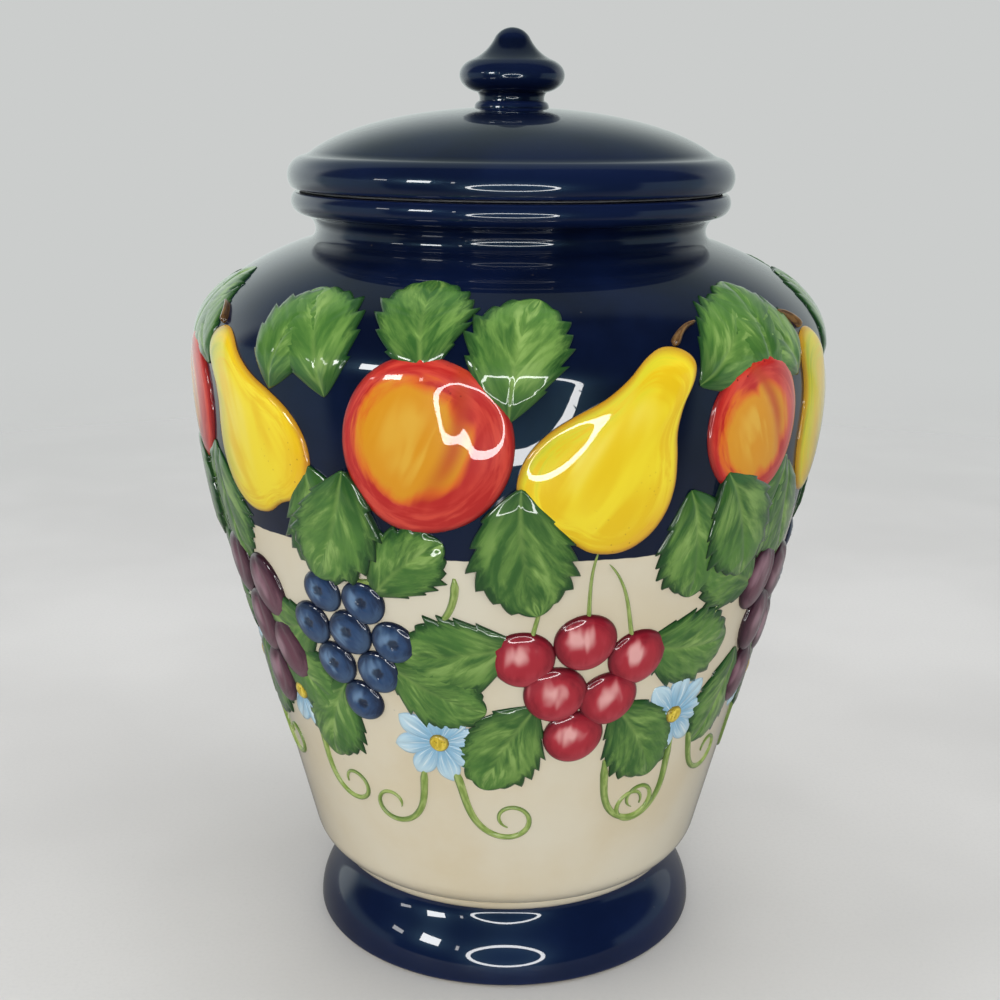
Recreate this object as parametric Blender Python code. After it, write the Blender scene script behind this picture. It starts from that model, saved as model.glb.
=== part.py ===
"""Lidded cookie jar: footed body, domed lid with a finial, and a soft seal on the lid's flange.

Every size is in millimetres. Each piece is an outline of (radius, height) turned about the Z axis.
The heights follow one another upward: foot, bead, belly, shoulder, neck, rim, seal, lid, finial.
The belly carries a low raised garland of fruit and leaves, the same three times round. Its stems
and flowers are too fine for the solid.
"""

import math
from dataclasses import dataclass

import bmesh
import bpy
import numpy as np
from mathutils.geometry import delaunay_2d_cdt

MM = 0.001
FRONT_ANGLE = -90.0
SEGMENT_COUNT = 48
FINIAL_SEGMENT_COUNT = 32
SHARP_EDGE_ANGLE = 40.0
COBALT_GLAZE = (0.012, 0.028, 0.125)
CLEAR_SILICONE = (0.78, 0.78, 0.74)

# Foot: a flat ring to stand on, a hollow underneath and a side that bulges low and draws in above
FOOT_RADIUS = 66.0
FOOT_EDGE_SPAN = 3.0
FOOT_EDGE_RISE = 2.0
FOOT_RING_WIDTH = 8.0
RECESS_SLOPE = 2.5
RECESS_DEPTH = 5.0
FOOT_TOP_RADIUS = 57.2
FOOT_HEIGHT = 23.6
FOOT_BULGE_REACH = 10.8
FOOT_COVE_REACH = 5.8
FOOT_COVE_LEAN_ANGLE = 4.0

# Small bead and groove between foot and belly
BEAD_FLARE = 3.7
BEAD_HEIGHT = 4.0
BEAD_SWEEP = 0.7
GROOVE_DEPTH = 0.5
GROOVE_HEIGHT = 0.8

# Belly: a rounded tuck, a straight taper, then a long arc up to the widest ring
TUCK_ROUND = 13.0
TUCK_HEIGHT = 7.6
TUCK_LOW_ANGLE = 52.0
TAPER_ANGLE = 14.2
BELLY_RADIUS = 101.5
BELLY_HEIGHT = 203.5
BELLY_ARC_RADIUS = 262.0
SHOULDER_SPHEROID_RISE = 40.5

# Neck and rim
NECK_RADIUS = 63.0
NECK_FILLET = 1.6
NECK_FILLET_SWEEP = 0.4
NECK_HEIGHT = 2.8
COVE_ROUND = 5.0
RIM_OVERHANG = 7.6
RIM_ROUND = 4.2
RIM_UPPER_HEIGHT = 2.8
RIM_INNER_ROUND = 1.0

# Hollow of the body
WALL = 5.0
FOOT_WALL = 5.5
FLOOR_THICKNESS = 7.0
FLOOR_CORNER_ROUND = 6.0
HOLLOW_WAIST_HEIGHT = 2.4
HOLLOW_TUCK_HEIGHT = 6.0
HOLLOW_TUCK_SWEEP = 1.6

# Raised garland: each motif is (degrees right of the front, height, lean, width, length)
GARLAND_COUNT = 3
GARLAND_BOTTOM = 74.0
GARLAND_SHOULDER_SHARE = 0.8
GARLAND_COURSE_COUNT = 12
GROUND_SPACING = 11.0
OUTLINE_SPACING = 7.5
LEAST_OUTLINE_COUNT = 8
LEAST_SPACING = 1.3
DRAWING_MERGE = 1e-7
STEP_HALF_WIDTH = 0.7
INNER_RING_SHARE = 0.55
FRUIT_EDGE_RISE = 1.8
FRUIT_RISE = 2.8
LEAF_EDGE_RISE = 0.7
LEAF_RISE = 1.3
TUCKED_LEAF_EDGE_RISE = 2.2
TUCKED_LEAF_RISE = 2.9
PEAR_BODY = (-0.17, 0.5, 0.33)
PEAR_NECK = (0.22, 0.21, 0.28)
WHOLE_FRUIT = (0.0, 0.5, 0.5)
WHOLE_LEAF = (0.48, 0.44, 0.5)
PEARS = (
    (17.0, 187.0, 24.0, 45.0, 62.0),
    (-49.0, 189.0, -26.0, 43.0, 58.0),
)
PEACHES = (
    (-13.0, 187.0, 24.0, 50.0, 50.0),
    (45.0, 188.0, -24.0, 42.0, 42.0),
)
CHERRIES = (
    (3.0, 122.0, 0.0, 19.0, 19.0),
    (14.5, 127.0, 0.0, 19.0, 19.0),
    (25.5, 120.0, 0.0, 19.0, 19.0),
    (9.5, 110.0, 0.0, 19.0, 19.0),
    (20.5, 107.0, 0.0, 18.5, 18.5),
    (14.0, 94.5, 0.0, 18.5, 18.5),
)
PLUMS = (
    (56.0, 136.0, 15.0, 18.0, 22.0),
    (67.0, 133.0, -20.0, 18.0, 22.0),
    (61.5, 119.0, 0.0, 18.0, 22.0),
    (70.5, 113.0, -20.0, 17.0, 21.0),
    (62.0, 100.0, 10.0, 17.0, 21.0),
)
BLUEBERRIES = (
    (-35.5, 138.0, 0.0, 14.0, 14.0),
    (-26.5, 137.0, 0.0, 14.5, 14.5),
    (-40.0, 126.0, 0.0, 14.5, 14.5),
    (-30.5, 126.0, 0.0, 15.0, 15.0),
    (-21.5, 125.0, 0.0, 14.0, 14.0),
    (-35.5, 114.0, 0.0, 14.5, 14.5),
    (-25.5, 114.0, 0.0, 14.5, 14.5),
    (-30.5, 102.5, 0.0, 14.0, 14.0),
)
LEAVES = (
    (-30.0, 198.0, -24.0, 28.0, 37.0),
    (-13.0, 205.0, -4.0, 27.0, 34.0),
    (0.0, 194.0, 12.0, 28.0, 38.0),
    (-42.0, 198.0, 22.0, 26.0, 36.0),
    (-63.0, 200.0, -48.0, 27.0, 36.0),
    (31.0, 202.0, 44.0, 28.0, 38.0),
    (47.0, 198.0, 2.0, 27.0, 37.0),
    (-64.0, 176.0, -150.0, 27.0, 36.0),
    (31.0, 172.0, 170.0, 27.0, 36.0),
    (57.0, 174.0, 165.0, 27.0, 36.0),
    (-35.0, 178.0, 175.0, 28.0, 38.0),
    (2.0, 128.0, -100.0, 27.0, 36.0),
    (26.0, 124.0, 98.0, 27.0, 37.0),
    (22.0, 104.0, 150.0, 26.0, 35.0),
    (6.0, 106.0, -155.0, 26.0, 35.0),
    (-39.0, 126.0, -100.0, 26.0, 34.0),
    (-23.0, 118.0, 118.0, 24.0, 32.0),
    (-34.0, 108.0, -158.0, 25.0, 34.0),
    (-24.0, 140.0, 50.0, 22.0, 30.0),
    (56.0, 112.0, -160.0, 25.0, 34.0),
    (65.0, 118.0, 128.0, 25.0, 34.0),
    (54.0, 136.0, -60.0, 24.0, 32.0),
)
TUCKED_LEAVES = (
    (-27.0, 178.0, -158.0, 28.0, 38.0),
    (2.0, 176.0, 172.0, 29.0, 40.0),
    (38.0, 176.0, 158.0, 28.0, 38.0),
)

# Seal on the lid's flange, with a lip over the rim and two fins towards the bore
REST_GAP = 0.3
SEAL_LIP_THICKNESS = 0.5
SEAL_LIP_REACH = 10.0
SEAL_BAND = 1.5
SEAL_FIN_DEPTH = 1.5
SEAL_FIN_HEIGHT = 2.0
SEAL_FIN_TIP_HEIGHT = 0.6
SEAL_FIN_DROPS = (6.7, 2.7)
SEAL_BORE_CLEARANCE = 0.4
SEAL_FLANGE_CLEARANCE = 0.35

# Lid: flange, flat seat, rolled edge, small step and a dome over a hollow
LID_OVERHANG = 1.0
LID_EDGE_ROUND = 6.3
LID_EDGE_LOWER_HEIGHT = 3.9
LID_EDGE_TOP_ANGLE = 78.0
LID_STEP_INSET = 8.0
LID_STEP_SWEEP = 0.2
LID_DOME_EDGE_ANGLE = 24.7
LID_DOME_SPHEROID_RISE = 23.5
LID_CROWN_HEIGHT = 21.1
LID_HOLLOW_RISE = 18.0
LID_HOLLOW_START = 1.4
FLANGE_WALL = 3.7
FLANGE_DEPTH = 14.0
FLANGE_LIP_HEIGHT = 2.8
FLANGE_LIP_REACH = 1.3
FLANGE_EDGE_CHAMFER = 0.9

# Finial: a short stem, a round disc and a tip that narrows to a small round end
FINIAL_BASE_RADIUS = 11.0
FINIAL_STEM_RADIUS = 10.4
FINIAL_STEM_HEIGHT = 1.8
FINIAL_STEM_SWEEP = 0.15
FINIAL_DISC_RADIUS = 16.75
FINIAL_DISC_SPAN = 7.75
FINIAL_DISC_RISE = 5.5
FINIAL_DISC_HEIGHT = 9.6
FINIAL_DISC_LOW_ANGLE = 75.0
FINIAL_DISC_HIGH_ANGLE = 55.0
FINIAL_TIP_ROUND = 6.5
FINIAL_TIP_LOW_ANGLE = 33.0
FINIAL_TIP_SWEEP = 1.05
FINIAL_HEIGHT = 24.2

# Places that follow from the sizes
ring_outer_radius = FOOT_RADIUS - FOOT_EDGE_SPAN
ring_inner_radius = ring_outer_radius - FOOT_RING_WIDTH
recess_radius = ring_inner_radius - RECESS_SLOPE
bead_top_radius = FOOT_TOP_RADIUS + BEAD_FLARE
bead_top = FOOT_HEIGHT + BEAD_HEIGHT
groove_radius = bead_top_radius - GROOVE_DEPTH
groove_middle = bead_top + GROOVE_HEIGHT
tuck_top = groove_middle + TUCK_HEIGHT
taper = math.radians(TAPER_ANGLE)

shoulder_top_radius = NECK_RADIUS + NECK_FILLET
shoulder_top_angle = math.degrees(math.acos(shoulder_top_radius / BELLY_RADIUS))
shoulder_top = BELLY_HEIGHT + SHOULDER_SPHEROID_RISE * math.sin(math.radians(shoulder_top_angle))
rim_radius = NECK_RADIUS + RIM_OVERHANG
rim_centre = rim_radius - RIM_ROUND
cove_centre = NECK_RADIUS + COVE_ROUND
cove_lean = cove_centre - rim_centre
cove_to_rim = math.sqrt((COVE_ROUND + RIM_ROUND) ** 2 - cove_lean ** 2)
cove_middle = shoulder_top + NECK_HEIGHT
rim_middle = cove_middle + cove_to_rim
rim_top = rim_middle + RIM_UPPER_HEIGHT
bore_radius = NECK_RADIUS - WALL

floor_height = RECESS_DEPTH + FLOOR_THICKNESS
foot_hollow_radius = FOOT_TOP_RADIUS - FOOT_WALL
hollow_waist = FOOT_HEIGHT + HOLLOW_WAIST_HEIGHT
hollow_tuck = tuck_top + HOLLOW_TUCK_HEIGHT

seal_lip_bottom = rim_top + REST_GAP
seal_lip_top = seal_lip_bottom + SEAL_LIP_THICKNESS
seal_band_radius = bore_radius - SEAL_BORE_CLEARANCE - SEAL_FIN_DEPTH
seal_inner_radius = seal_band_radius - SEAL_BAND
lid_seat = seal_lip_top + REST_GAP
flange_radius = seal_inner_radius - SEAL_FLANGE_CLEARANCE
flange_bottom = lid_seat - FLANGE_DEPTH
flange_lip_top = flange_bottom + FLANGE_LIP_HEIGHT
seal_bottom = flange_lip_top + REST_GAP

lid_hollow_radius = flange_radius - FLANGE_WALL
lid_edge_radius = rim_radius + LID_OVERHANG
lid_edge_middle = lid_seat + LID_EDGE_LOWER_HEIGHT
lid_step_radius = lid_edge_radius - LID_STEP_INSET
lid_dome_span = lid_step_radius / math.cos(math.radians(LID_DOME_EDGE_ANGLE))
lid_top = lid_edge_middle + LID_CROWN_HEIGHT
lid_top_angle = math.degrees(math.acos(FINIAL_BASE_RADIUS / lid_dome_span))
lid_dome_middle = lid_top - LID_DOME_SPHEROID_RISE * math.sin(math.radians(lid_top_angle))
finial_base = lid_top + REST_GAP
finial_top = finial_base + FINIAL_HEIGHT


def oval(radius, height, span, rise, start, end, steps):
    """Points along an oval about (radius, height), angles in degrees, both ends included."""
    points = []
    for step in range(steps + 1):
        angle = math.radians(start + (end - start) * step / steps)
        points.append((radius + span * math.cos(angle), height + rise * math.sin(angle)))
    return points


def arc(radius, height, size, start, end, steps):
    """Points along a circle's arc about (radius, height)."""
    return oval(radius, height, size, size, start, end, steps)


def bow(first, last, sweep, steps):
    """Points along a shallow curve that swings to the right of its direction by sweep."""
    across = last[0] - first[0]
    up = last[1] - first[1]
    length = math.hypot(across, up)
    points = []
    for step in range(steps + 1):
        part = step / steps
        push = 4.0 * sweep * part * (1.0 - part) / length
        points.append((first[0] + across * part + up * push, first[1] + up * part - across * push))
    return points


def s_curve(first, last, reach_up, reach_down, lean, steps):
    """A curve that leaves first straight up and comes to last leaning inward by lean degrees."""
    tilt = math.radians(lean)
    second = (first[0], first[1] + reach_up)
    third = (last[0] + reach_down * math.sin(tilt), last[1] - reach_down * math.cos(tilt))
    points = []
    for step in range(steps + 1):
        part = step / steps
        rest = 1.0 - part
        shares = (rest ** 3, 3.0 * part * rest * rest, 3.0 * part * part * rest, part ** 3)
        radius = 0.0
        height = 0.0
        for share, corner in zip(shares, (first, second, third, last)):
            radius += share * corner[0]
            height += share * corner[1]
        points.append((radius, height))
    return points


def joined(*stretches):
    """One outline from several stretches, with repeated neighbours left out."""
    outline = []
    for stretch in stretches:
        for point in stretch:
            if not outline or math.dist(outline[-1], point) > 0.02:
                outline.append(point)
    return outline


def ring_of_vertices(shape, radius, height, around):
    """The vertices of one turned point: a ring, or a single vertex on the axis."""
    if radius < 0.001:
        return [shape.verts.new((0.0, 0.0, height * MM))]
    ring = []
    for turn in range(around):
        angle = 2.0 * math.pi * turn / around
        across = radius * MM * math.cos(angle)
        along = radius * MM * math.sin(angle)
        ring.append(shape.verts.new((across, along, height * MM)))
    return ring


def glaze(name, color, roughness):
    """A plain material of one colour."""
    material = bpy.data.materials.new(name)
    material.use_nodes = True
    surface = material.node_tree.nodes["Principled BSDF"]
    surface.inputs["Base Color"].default_value = (*color, 1.0)
    surface.inputs["Roughness"].default_value = roughness
    surface.inputs["Metallic"].default_value = 0.0
    return material


def band_between(shape, lower, upper):
    """Faces between two rings, either of which may be a single point on the axis."""
    around = max(len(lower), len(upper))
    for turn in range(around):
        after = (turn + 1) % around
        corners = [lower[turn % len(lower)], lower[after % len(lower)]]
        corners += [upper[after % len(upper)], upper[turn % len(upper)]]
        shape.faces.new(list(dict.fromkeys(corners)))


def rings_along(shape, outline, around):
    """The rings of vertices along an outline, with faces between them."""
    rings = [ring_of_vertices(shape, radius, height, around) for radius, height in outline]
    for lower, upper in zip(rings, rings[1:]):
        band_between(shape, lower, upper)
    return rings


def piece_of(name, shape, material):
    """The object made of a closed shape."""
    bmesh.ops.recalc_face_normals(shape, faces=shape.faces[:])
    mesh = bpy.data.meshes.new(name)
    shape.to_mesh(mesh)
    shape.free()
    mesh.shade_smooth()
    mesh.set_sharp_from_angle(angle=math.radians(SHARP_EDGE_ANGLE))
    mesh.materials.append(material)
    piece = bpy.data.objects.new(name, mesh)
    bpy.context.scene.collection.objects.link(piece)
    return piece


def turned(name, outline, around, material):
    """A closed solid from one outline: from the axis back to the axis, or all round a ring."""
    shape = bmesh.new()
    rings = rings_along(shape, outline, around)
    if len(rings[0]) > 1:
        band_between(shape, rings[-1], rings[0])
    return piece_of(name, shape, material)


def belly_side(inset, lowest, steps):
    """The taper and the long arc up to the widest ring, moved inward by inset."""
    centre = BELLY_RADIUS - BELLY_ARC_RADIUS
    side = arc(centre, BELLY_HEIGHT, BELLY_ARC_RADIUS - inset, -TAPER_ANGLE, 0.0, steps)
    lowest_radius = side[0][0] - math.tan(taper) * (side[0][1] - lowest)
    return [(lowest_radius, lowest)] + side


def shoulder(inset, radius, steps):
    """The shoulder from the widest ring in to a radius, moved inward by inset."""
    span = BELLY_RADIUS - inset
    end = math.degrees(math.acos(radius / span))
    return oval(0.0, BELLY_HEIGHT, span, SHOULDER_SPHEROID_RISE - inset, 0.0, end, steps)


def foot_and_bead():
    recess = [(0.0, RECESS_DEPTH), (recess_radius, RECESS_DEPTH), (ring_inner_radius, 0.0)]
    edge = oval(ring_outer_radius, FOOT_EDGE_RISE, FOOT_EDGE_SPAN, FOOT_EDGE_RISE, -90.0, 0.0, 3)
    flare = s_curve(edge[-1], (FOOT_TOP_RADIUS, FOOT_HEIGHT), FOOT_BULGE_REACH, FOOT_COVE_REACH,
                    FOOT_COVE_LEAN_ANGLE, 8)
    bead = bow(flare[-1], (bead_top_radius, bead_top), BEAD_SWEEP, 3)
    return recess + edge + flare + bead + [(groove_radius, groove_middle)]


def tuck_and_taper():
    tuck_radius = belly_side(0.0, tuck_top, 1)[0][0]
    tuck_centre = tuck_radius - TUCK_ROUND * math.cos(taper)
    tuck_middle = tuck_top + TUCK_ROUND * math.sin(taper)
    tuck = arc(tuck_centre, tuck_middle, TUCK_ROUND, -TUCK_LOW_ANGLE, -TAPER_ANGLE, 4)
    return tuck + [belly_side(0.0, GARLAND_BOTTOM, 1)[0]]


class Course:
    """The outline under the garland, followed by its length from the garland's lowest ring."""

    def __init__(self):
        side = belly_side(0.0, GARLAND_BOTTOM, GARLAND_COURSE_COUNT)
        top_angle = GARLAND_SHOULDER_SHARE * shoulder_top_angle
        top = oval(0.0, BELLY_HEIGHT, BELLY_RADIUS, SHOULDER_SPHEROID_RISE, 0.0, top_angle,
                   GARLAND_COURSE_COUNT)
        self.radii, self.heights = np.array(joined(side, top)).T
        steps = np.hypot(np.diff(self.radii), np.diff(self.heights))
        self.lengths = np.concatenate(([0.0], np.cumsum(steps)))
        mean_radii = 0.5 * (self.radii[1:] + self.radii[:-1])
        self.spreads = np.exp(np.concatenate(([0.0], np.cumsum(steps / mean_radii))))
        self.out_radii = np.gradient(self.heights, self.lengths)
        self.out_heights = -np.gradient(self.radii, self.lengths)

    def flat(self, degrees, length):
        """A place on a flat drawing of the garland that keeps its shapes, seen along the axis."""
        spread = np.interp(length, self.lengths, self.spreads)
        angle = math.radians(degrees + FRONT_ANGLE)
        return (spread * math.cos(angle), spread * math.sin(angle))

    def solid(self, degrees, length, lift):
        """The same place on the jar, standing out by lift."""
        radius = np.interp(length, self.lengths, self.radii)
        height = np.interp(length, self.lengths, self.heights)
        radius += lift * np.interp(length, self.lengths, self.out_radii)
        height += lift * np.interp(length, self.lengths, self.out_heights)
        angle = math.radians(degrees + FRONT_ANGLE)
        return np.array((radius * math.cos(angle), radius * math.sin(angle), height))


@dataclass
class Bump:
    """A round or pointed form of the garland, its base at a place on the course."""
    degrees: float
    base: float
    lean: float
    middle: float
    half_width: float
    half_length: float
    pointed: bool
    edge_rise: float
    rise: float

    def reach(self, course, degrees, length):
        """How far out a place is: 0 in the middle, 1 on the outline, more outside it."""
        stretch = 360.0 / GARLAND_COUNT
        turn = (degrees - self.degrees + 0.5 * stretch) % stretch - 0.5 * stretch
        across = math.radians(turn) * np.interp(length, course.lengths, course.radii)
        up = length - self.base
        tilt = math.radians(self.lean)
        aside = across * math.cos(tilt) - up * math.sin(tilt)
        ahead = across * math.sin(tilt) + up * math.cos(tilt) - self.middle
        aside /= self.half_width
        ahead /= self.half_length
        if self.pointed:
            return abs(aside) + ahead * ahead
        return math.hypot(aside, ahead)

    def lift(self, reach):
        """How far the form stands out there."""
        if reach >= 1.0:
            return 0.0
        share = 1.0 - reach if self.pointed else math.sqrt(1.0 - reach * reach)
        return self.edge_rise + (self.rise - self.edge_rise) * share

    def place(self, course, aside, ahead):
        """The place of a point of the form, in shares of its half width and half length."""
        tilt = math.radians(self.lean)
        right = aside * self.half_width
        forward = self.middle + ahead * self.half_length
        across = right * math.cos(tilt) + forward * math.sin(tilt)
        length = self.base - right * math.sin(tilt) + forward * math.cos(tilt)
        radius = np.interp(length, course.lengths, course.radii)
        return (self.degrees + math.degrees(across / radius), length)

    def places(self, course):
        """Places outside and inside the outline, and in the middle of the form."""
        outline = math.pi * (self.half_width + self.half_length)
        count = max(LEAST_OUTLINE_COUNT, 2 * round(outline / OUTLINE_SPACING / 2.0))
        step = STEP_HALF_WIDTH / self.half_width
        places = []
        for scale, points in ((1.0 + step, count), (1.0 - step, count), (INNER_RING_SHARE, count // 2)):
            for point in range(points):
                angle = 2.0 * math.pi * point / points
                aside = math.sin(angle)
                if self.pointed:
                    aside *= abs(aside)
                places.append(self.place(course, scale * aside, scale * math.cos(angle)))
        places.append(self.place(course, 0.0, 0.0))
        return places


def garland_bumps(course):
    """The garland's forms, from the lowest to the one on top."""
    leaves = [(leaf, WHOLE_LEAF, True, LEAF_EDGE_RISE, LEAF_RISE) for leaf in LEAVES]
    necks = [(pear, PEAR_NECK, False, FRUIT_EDGE_RISE, FRUIT_RISE) for pear in PEARS]
    bodies = [(pear, PEAR_BODY, False, FRUIT_EDGE_RISE, FRUIT_RISE) for pear in PEARS]
    small = CHERRIES + PLUMS + BLUEBERRIES
    fruit = [(one, WHOLE_FRUIT, False, FRUIT_EDGE_RISE, FRUIT_RISE) for one in PEACHES + small]
    tucked = [(leaf, WHOLE_LEAF, True, TUCKED_LEAF_EDGE_RISE, TUCKED_LEAF_RISE) for leaf in TUCKED_LEAVES]
    bumps = []
    for motif, form, pointed, edge_rise, rise in leaves + necks + bodies + fruit + tucked:
        degrees, height, lean, width, length = motif
        middle, half_width, half_length = form
        base = np.interp(height, course.heights, course.lengths)
        bumps.append(Bump(degrees, base, lean, middle * length, half_width * width,
                          half_length * length, pointed, edge_rise, rise))
    return bumps


def ground_places(course):
    """Even places over one stretch of the garland, for the plain ground between the forms."""
    rows = round(course.lengths[-1] / GROUND_SPACING)
    stretch = 360.0 / GARLAND_COUNT
    places = []
    for row in range(1, rows):
        length = course.lengths[-1] * row / rows
        radius = np.interp(length, course.lengths, course.radii)
        columns = round(math.radians(stretch) * radius / GROUND_SPACING)
        for column in range(columns):
            places.append((stretch * (column + 0.5 * (row % 2)) / columns, length))
    return places


def garland_places(course, bumps):
    """Every place of the garland with its lift. Each form clears the places of those under it."""
    groups = [ground_places(course)] + [bump.places(course) for bump in bumps]
    clear = [1.0 + STEP_HALF_WIDTH / bump.half_width for bump in bumps]
    lowest = LEAST_SPACING
    highest = course.lengths[-1] - LEAST_SPACING
    kept = []
    taken = np.full((1, 3), np.inf)
    for level in reversed(range(len(groups))):
        for degrees, length in groups[level]:
            reaches = [bump.reach(course, degrees, length) for bump in bumps]
            covered = any(reach < least for reach, least in zip(reaches[level:], clear[level:]))
            if covered or not lowest < length < highest:
                continue
            repeats = [degrees + 360.0 * turn / GARLAND_COUNT for turn in range(GARLAND_COUNT)]
            spots = np.array([course.solid(repeat, length, 0.0) for repeat in repeats])
            if np.linalg.norm(taken - spots[0], axis=1).min() < LEAST_SPACING:
                continue
            taken = np.concatenate((taken, spots))
            lift = max(bump.lift(reach) for bump, reach in zip(bumps, reaches))
            kept += [(repeat, length, lift) for repeat in repeats]
    return kept


def add_garland(shape, lowest, highest):
    """Triangles from the lowest ring to the highest, through every place of the garland."""
    course = Course()
    places = garland_places(course, garland_bumps(course))
    around = len(lowest)
    turns = [360.0 * turn / around - FRONT_ANGLE for turn in range(around)]
    drawing = [course.flat(turn, 0.0) for turn in turns]
    drawing += [course.flat(turn, course.lengths[-1]) for turn in turns]
    drawing += [course.flat(degrees, length) for degrees, length, lift in places]
    vertices = lowest + highest
    for place in places:
        vertices.append(shape.verts.new(course.solid(*place) * MM))
    rings = [(turn, (turn + 1) % around) for turn in range(around)]
    rings += [(first + around, second + around) for first, second in rings]
    meshed = delaunay_2d_cdt(drawing, rings, [], 0, DRAWING_MERGE)
    for face in meshed[2]:
        corners = [meshed[3][corner][0] for corner in face]
        if max(corners) >= around:
            shape.faces.new([vertices[corner] for corner in corners])


def neck_and_rim():
    meeting = math.degrees(math.atan2(cove_to_rim, -cove_lean))
    cove = arc(cove_centre, cove_middle, COVE_ROUND, 180.0, meeting, 4)
    fillet = bow((shoulder_top_radius, shoulder_top), cove[0], -NECK_FILLET_SWEEP, 2)
    rim_end = math.degrees(math.asin(RIM_UPPER_HEIGHT / RIM_ROUND))
    rim = arc(rim_centre, rim_middle, RIM_ROUND, meeting - 180.0, rim_end, 5)
    inner_centre = bore_radius + RIM_INNER_ROUND
    inner_edge = arc(inner_centre, rim_top - RIM_INNER_ROUND, RIM_INNER_ROUND, 90.0, 180.0, 2)
    return fillet + cove + rim + inner_edge


def body_hollow():
    top = shoulder(WALL, bore_radius, 6)[::-1]
    side = belly_side(WALL, hollow_tuck, 3)[::-1]
    tuck = bow(side[-1], (foot_hollow_radius, hollow_waist), -HOLLOW_TUCK_SWEEP, 4)
    corner_centre = foot_hollow_radius - FLOOR_CORNER_ROUND
    corner = arc(corner_centre, floor_height + FLOOR_CORNER_ROUND, FLOOR_CORNER_ROUND, 0.0, -90.0, 3)
    return top + side + tuck + corner + [(0.0, floor_height)]


def shoulder_above_garland():
    start = GARLAND_SHOULDER_SHARE * shoulder_top_angle
    return oval(0.0, BELLY_HEIGHT, BELLY_RADIUS, SHOULDER_SPHEROID_RISE, start, shoulder_top_angle, 3)


def jar_body(material):
    """The jar: plain rings below and above the garland, and the garland between them."""
    shape = bmesh.new()
    below = rings_along(shape, joined(foot_and_bead(), tuck_and_taper()), SEGMENT_COUNT)
    top = joined(shoulder_above_garland(), neck_and_rim(), body_hollow())
    above = rings_along(shape, top, SEGMENT_COUNT)
    add_garland(shape, below[-1], above[0])
    return piece_of("jar_body", shape, material)


def seal_outline():
    fin_radius = seal_band_radius + SEAL_FIN_DEPTH
    lip_radius = bore_radius + SEAL_LIP_REACH
    outline = [(seal_inner_radius, seal_bottom), (seal_band_radius, seal_bottom)]
    for drop in SEAL_FIN_DROPS:
        middle = rim_top - drop
        outline.append((seal_band_radius, middle - SEAL_FIN_HEIGHT / 2.0))
        outline.append((fin_radius, middle - SEAL_FIN_TIP_HEIGHT / 2.0))
        outline.append((fin_radius, middle + SEAL_FIN_TIP_HEIGHT / 2.0))
        outline.append((seal_band_radius, middle + SEAL_FIN_HEIGHT / 2.0))
    outline.append((seal_band_radius, seal_lip_bottom))
    outline.append((lip_radius, seal_lip_bottom))
    outline.append((lip_radius, seal_lip_top))
    outline.append((seal_inner_radius, seal_lip_top))
    return outline


def lid_outline():
    hollow = oval(0.0, lid_seat + LID_HOLLOW_START, lid_hollow_radius, LID_HOLLOW_RISE, 90.0, 0.0, 6)
    lip_radius = flange_radius + FLANGE_LIP_REACH
    chamfer_top = flange_bottom + FLANGE_EDGE_CHAMFER
    flange = [
        (lid_hollow_radius, chamfer_top),
        (lid_hollow_radius + FLANGE_EDGE_CHAMFER, flange_bottom),
        (lip_radius - FLANGE_EDGE_CHAMFER, flange_bottom),
        (lip_radius, chamfer_top),
        (lip_radius, flange_lip_top),
        (flange_radius, flange_lip_top),
        (flange_radius, lid_seat),
    ]
    edge_centre = lid_edge_radius - LID_EDGE_ROUND
    edge_low = -math.degrees(math.asin(LID_EDGE_LOWER_HEIGHT / LID_EDGE_ROUND))
    edge = arc(edge_centre, lid_edge_middle, LID_EDGE_ROUND, edge_low, LID_EDGE_TOP_ANGLE, 7)
    dome = oval(0.0, lid_dome_middle, lid_dome_span, LID_DOME_SPHEROID_RISE,
                LID_DOME_EDGE_ANGLE, lid_top_angle, 8)
    step = bow(edge[-1], dome[0], -LID_STEP_SWEEP, 2)
    return joined(hollow, flange, edge, step, dome, [(0.0, lid_top)])


def finial_outline():
    disc_centre = FINIAL_DISC_RADIUS - FINIAL_DISC_SPAN
    disc_middle = finial_base + FINIAL_DISC_HEIGHT
    disc = oval(disc_centre, disc_middle, FINIAL_DISC_SPAN, FINIAL_DISC_RISE,
                -FINIAL_DISC_LOW_ANGLE, FINIAL_DISC_HIGH_ANGLE, 8)
    waist = (FINIAL_STEM_RADIUS, finial_base + FINIAL_STEM_HEIGHT)
    flare = bow((FINIAL_BASE_RADIUS, finial_base), waist, -FINIAL_STEM_SWEEP, 2)
    stem = bow(waist, disc[0], -FINIAL_STEM_SWEEP, 2)
    tip = arc(0.0, finial_top - FINIAL_TIP_ROUND, FINIAL_TIP_ROUND, FINIAL_TIP_LOW_ANGLE, 90.0, 5)
    tip[-1] = (0.0, finial_top)
    sweep = bow(disc[-1], tip[0], -FINIAL_TIP_SWEEP, 3)
    return joined([(0.0, finial_base)], flare, stem, disc, sweep, tip)


for old in list(bpy.data.objects):
    bpy.data.objects.remove(old, do_unlink=True)

jar_body(glaze("jar_body", COBALT_GLAZE, 0.12))
turned("seal_ring", seal_outline(), SEGMENT_COUNT, glaze("seal_ring", CLEAR_SILICONE, 0.45))
turned("lid", lid_outline(), SEGMENT_COUNT, glaze("lid", COBALT_GLAZE, 0.12))
turned("finial", finial_outline(), FINIAL_SEGMENT_COUNT, glaze("finial", COBALT_GLAZE, 0.12))
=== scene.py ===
"""Cookie jar: glazed body with a raised garland of fruit, lid, finial, soft seal, floor, light.

Outlines and motifs are in millimetres, lights and camera in metres. The jar stands on the origin.
Tones are display colours, 0 to 255. Colours with four parts are linear light.
"""

import math
import random
from functools import partial

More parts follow.
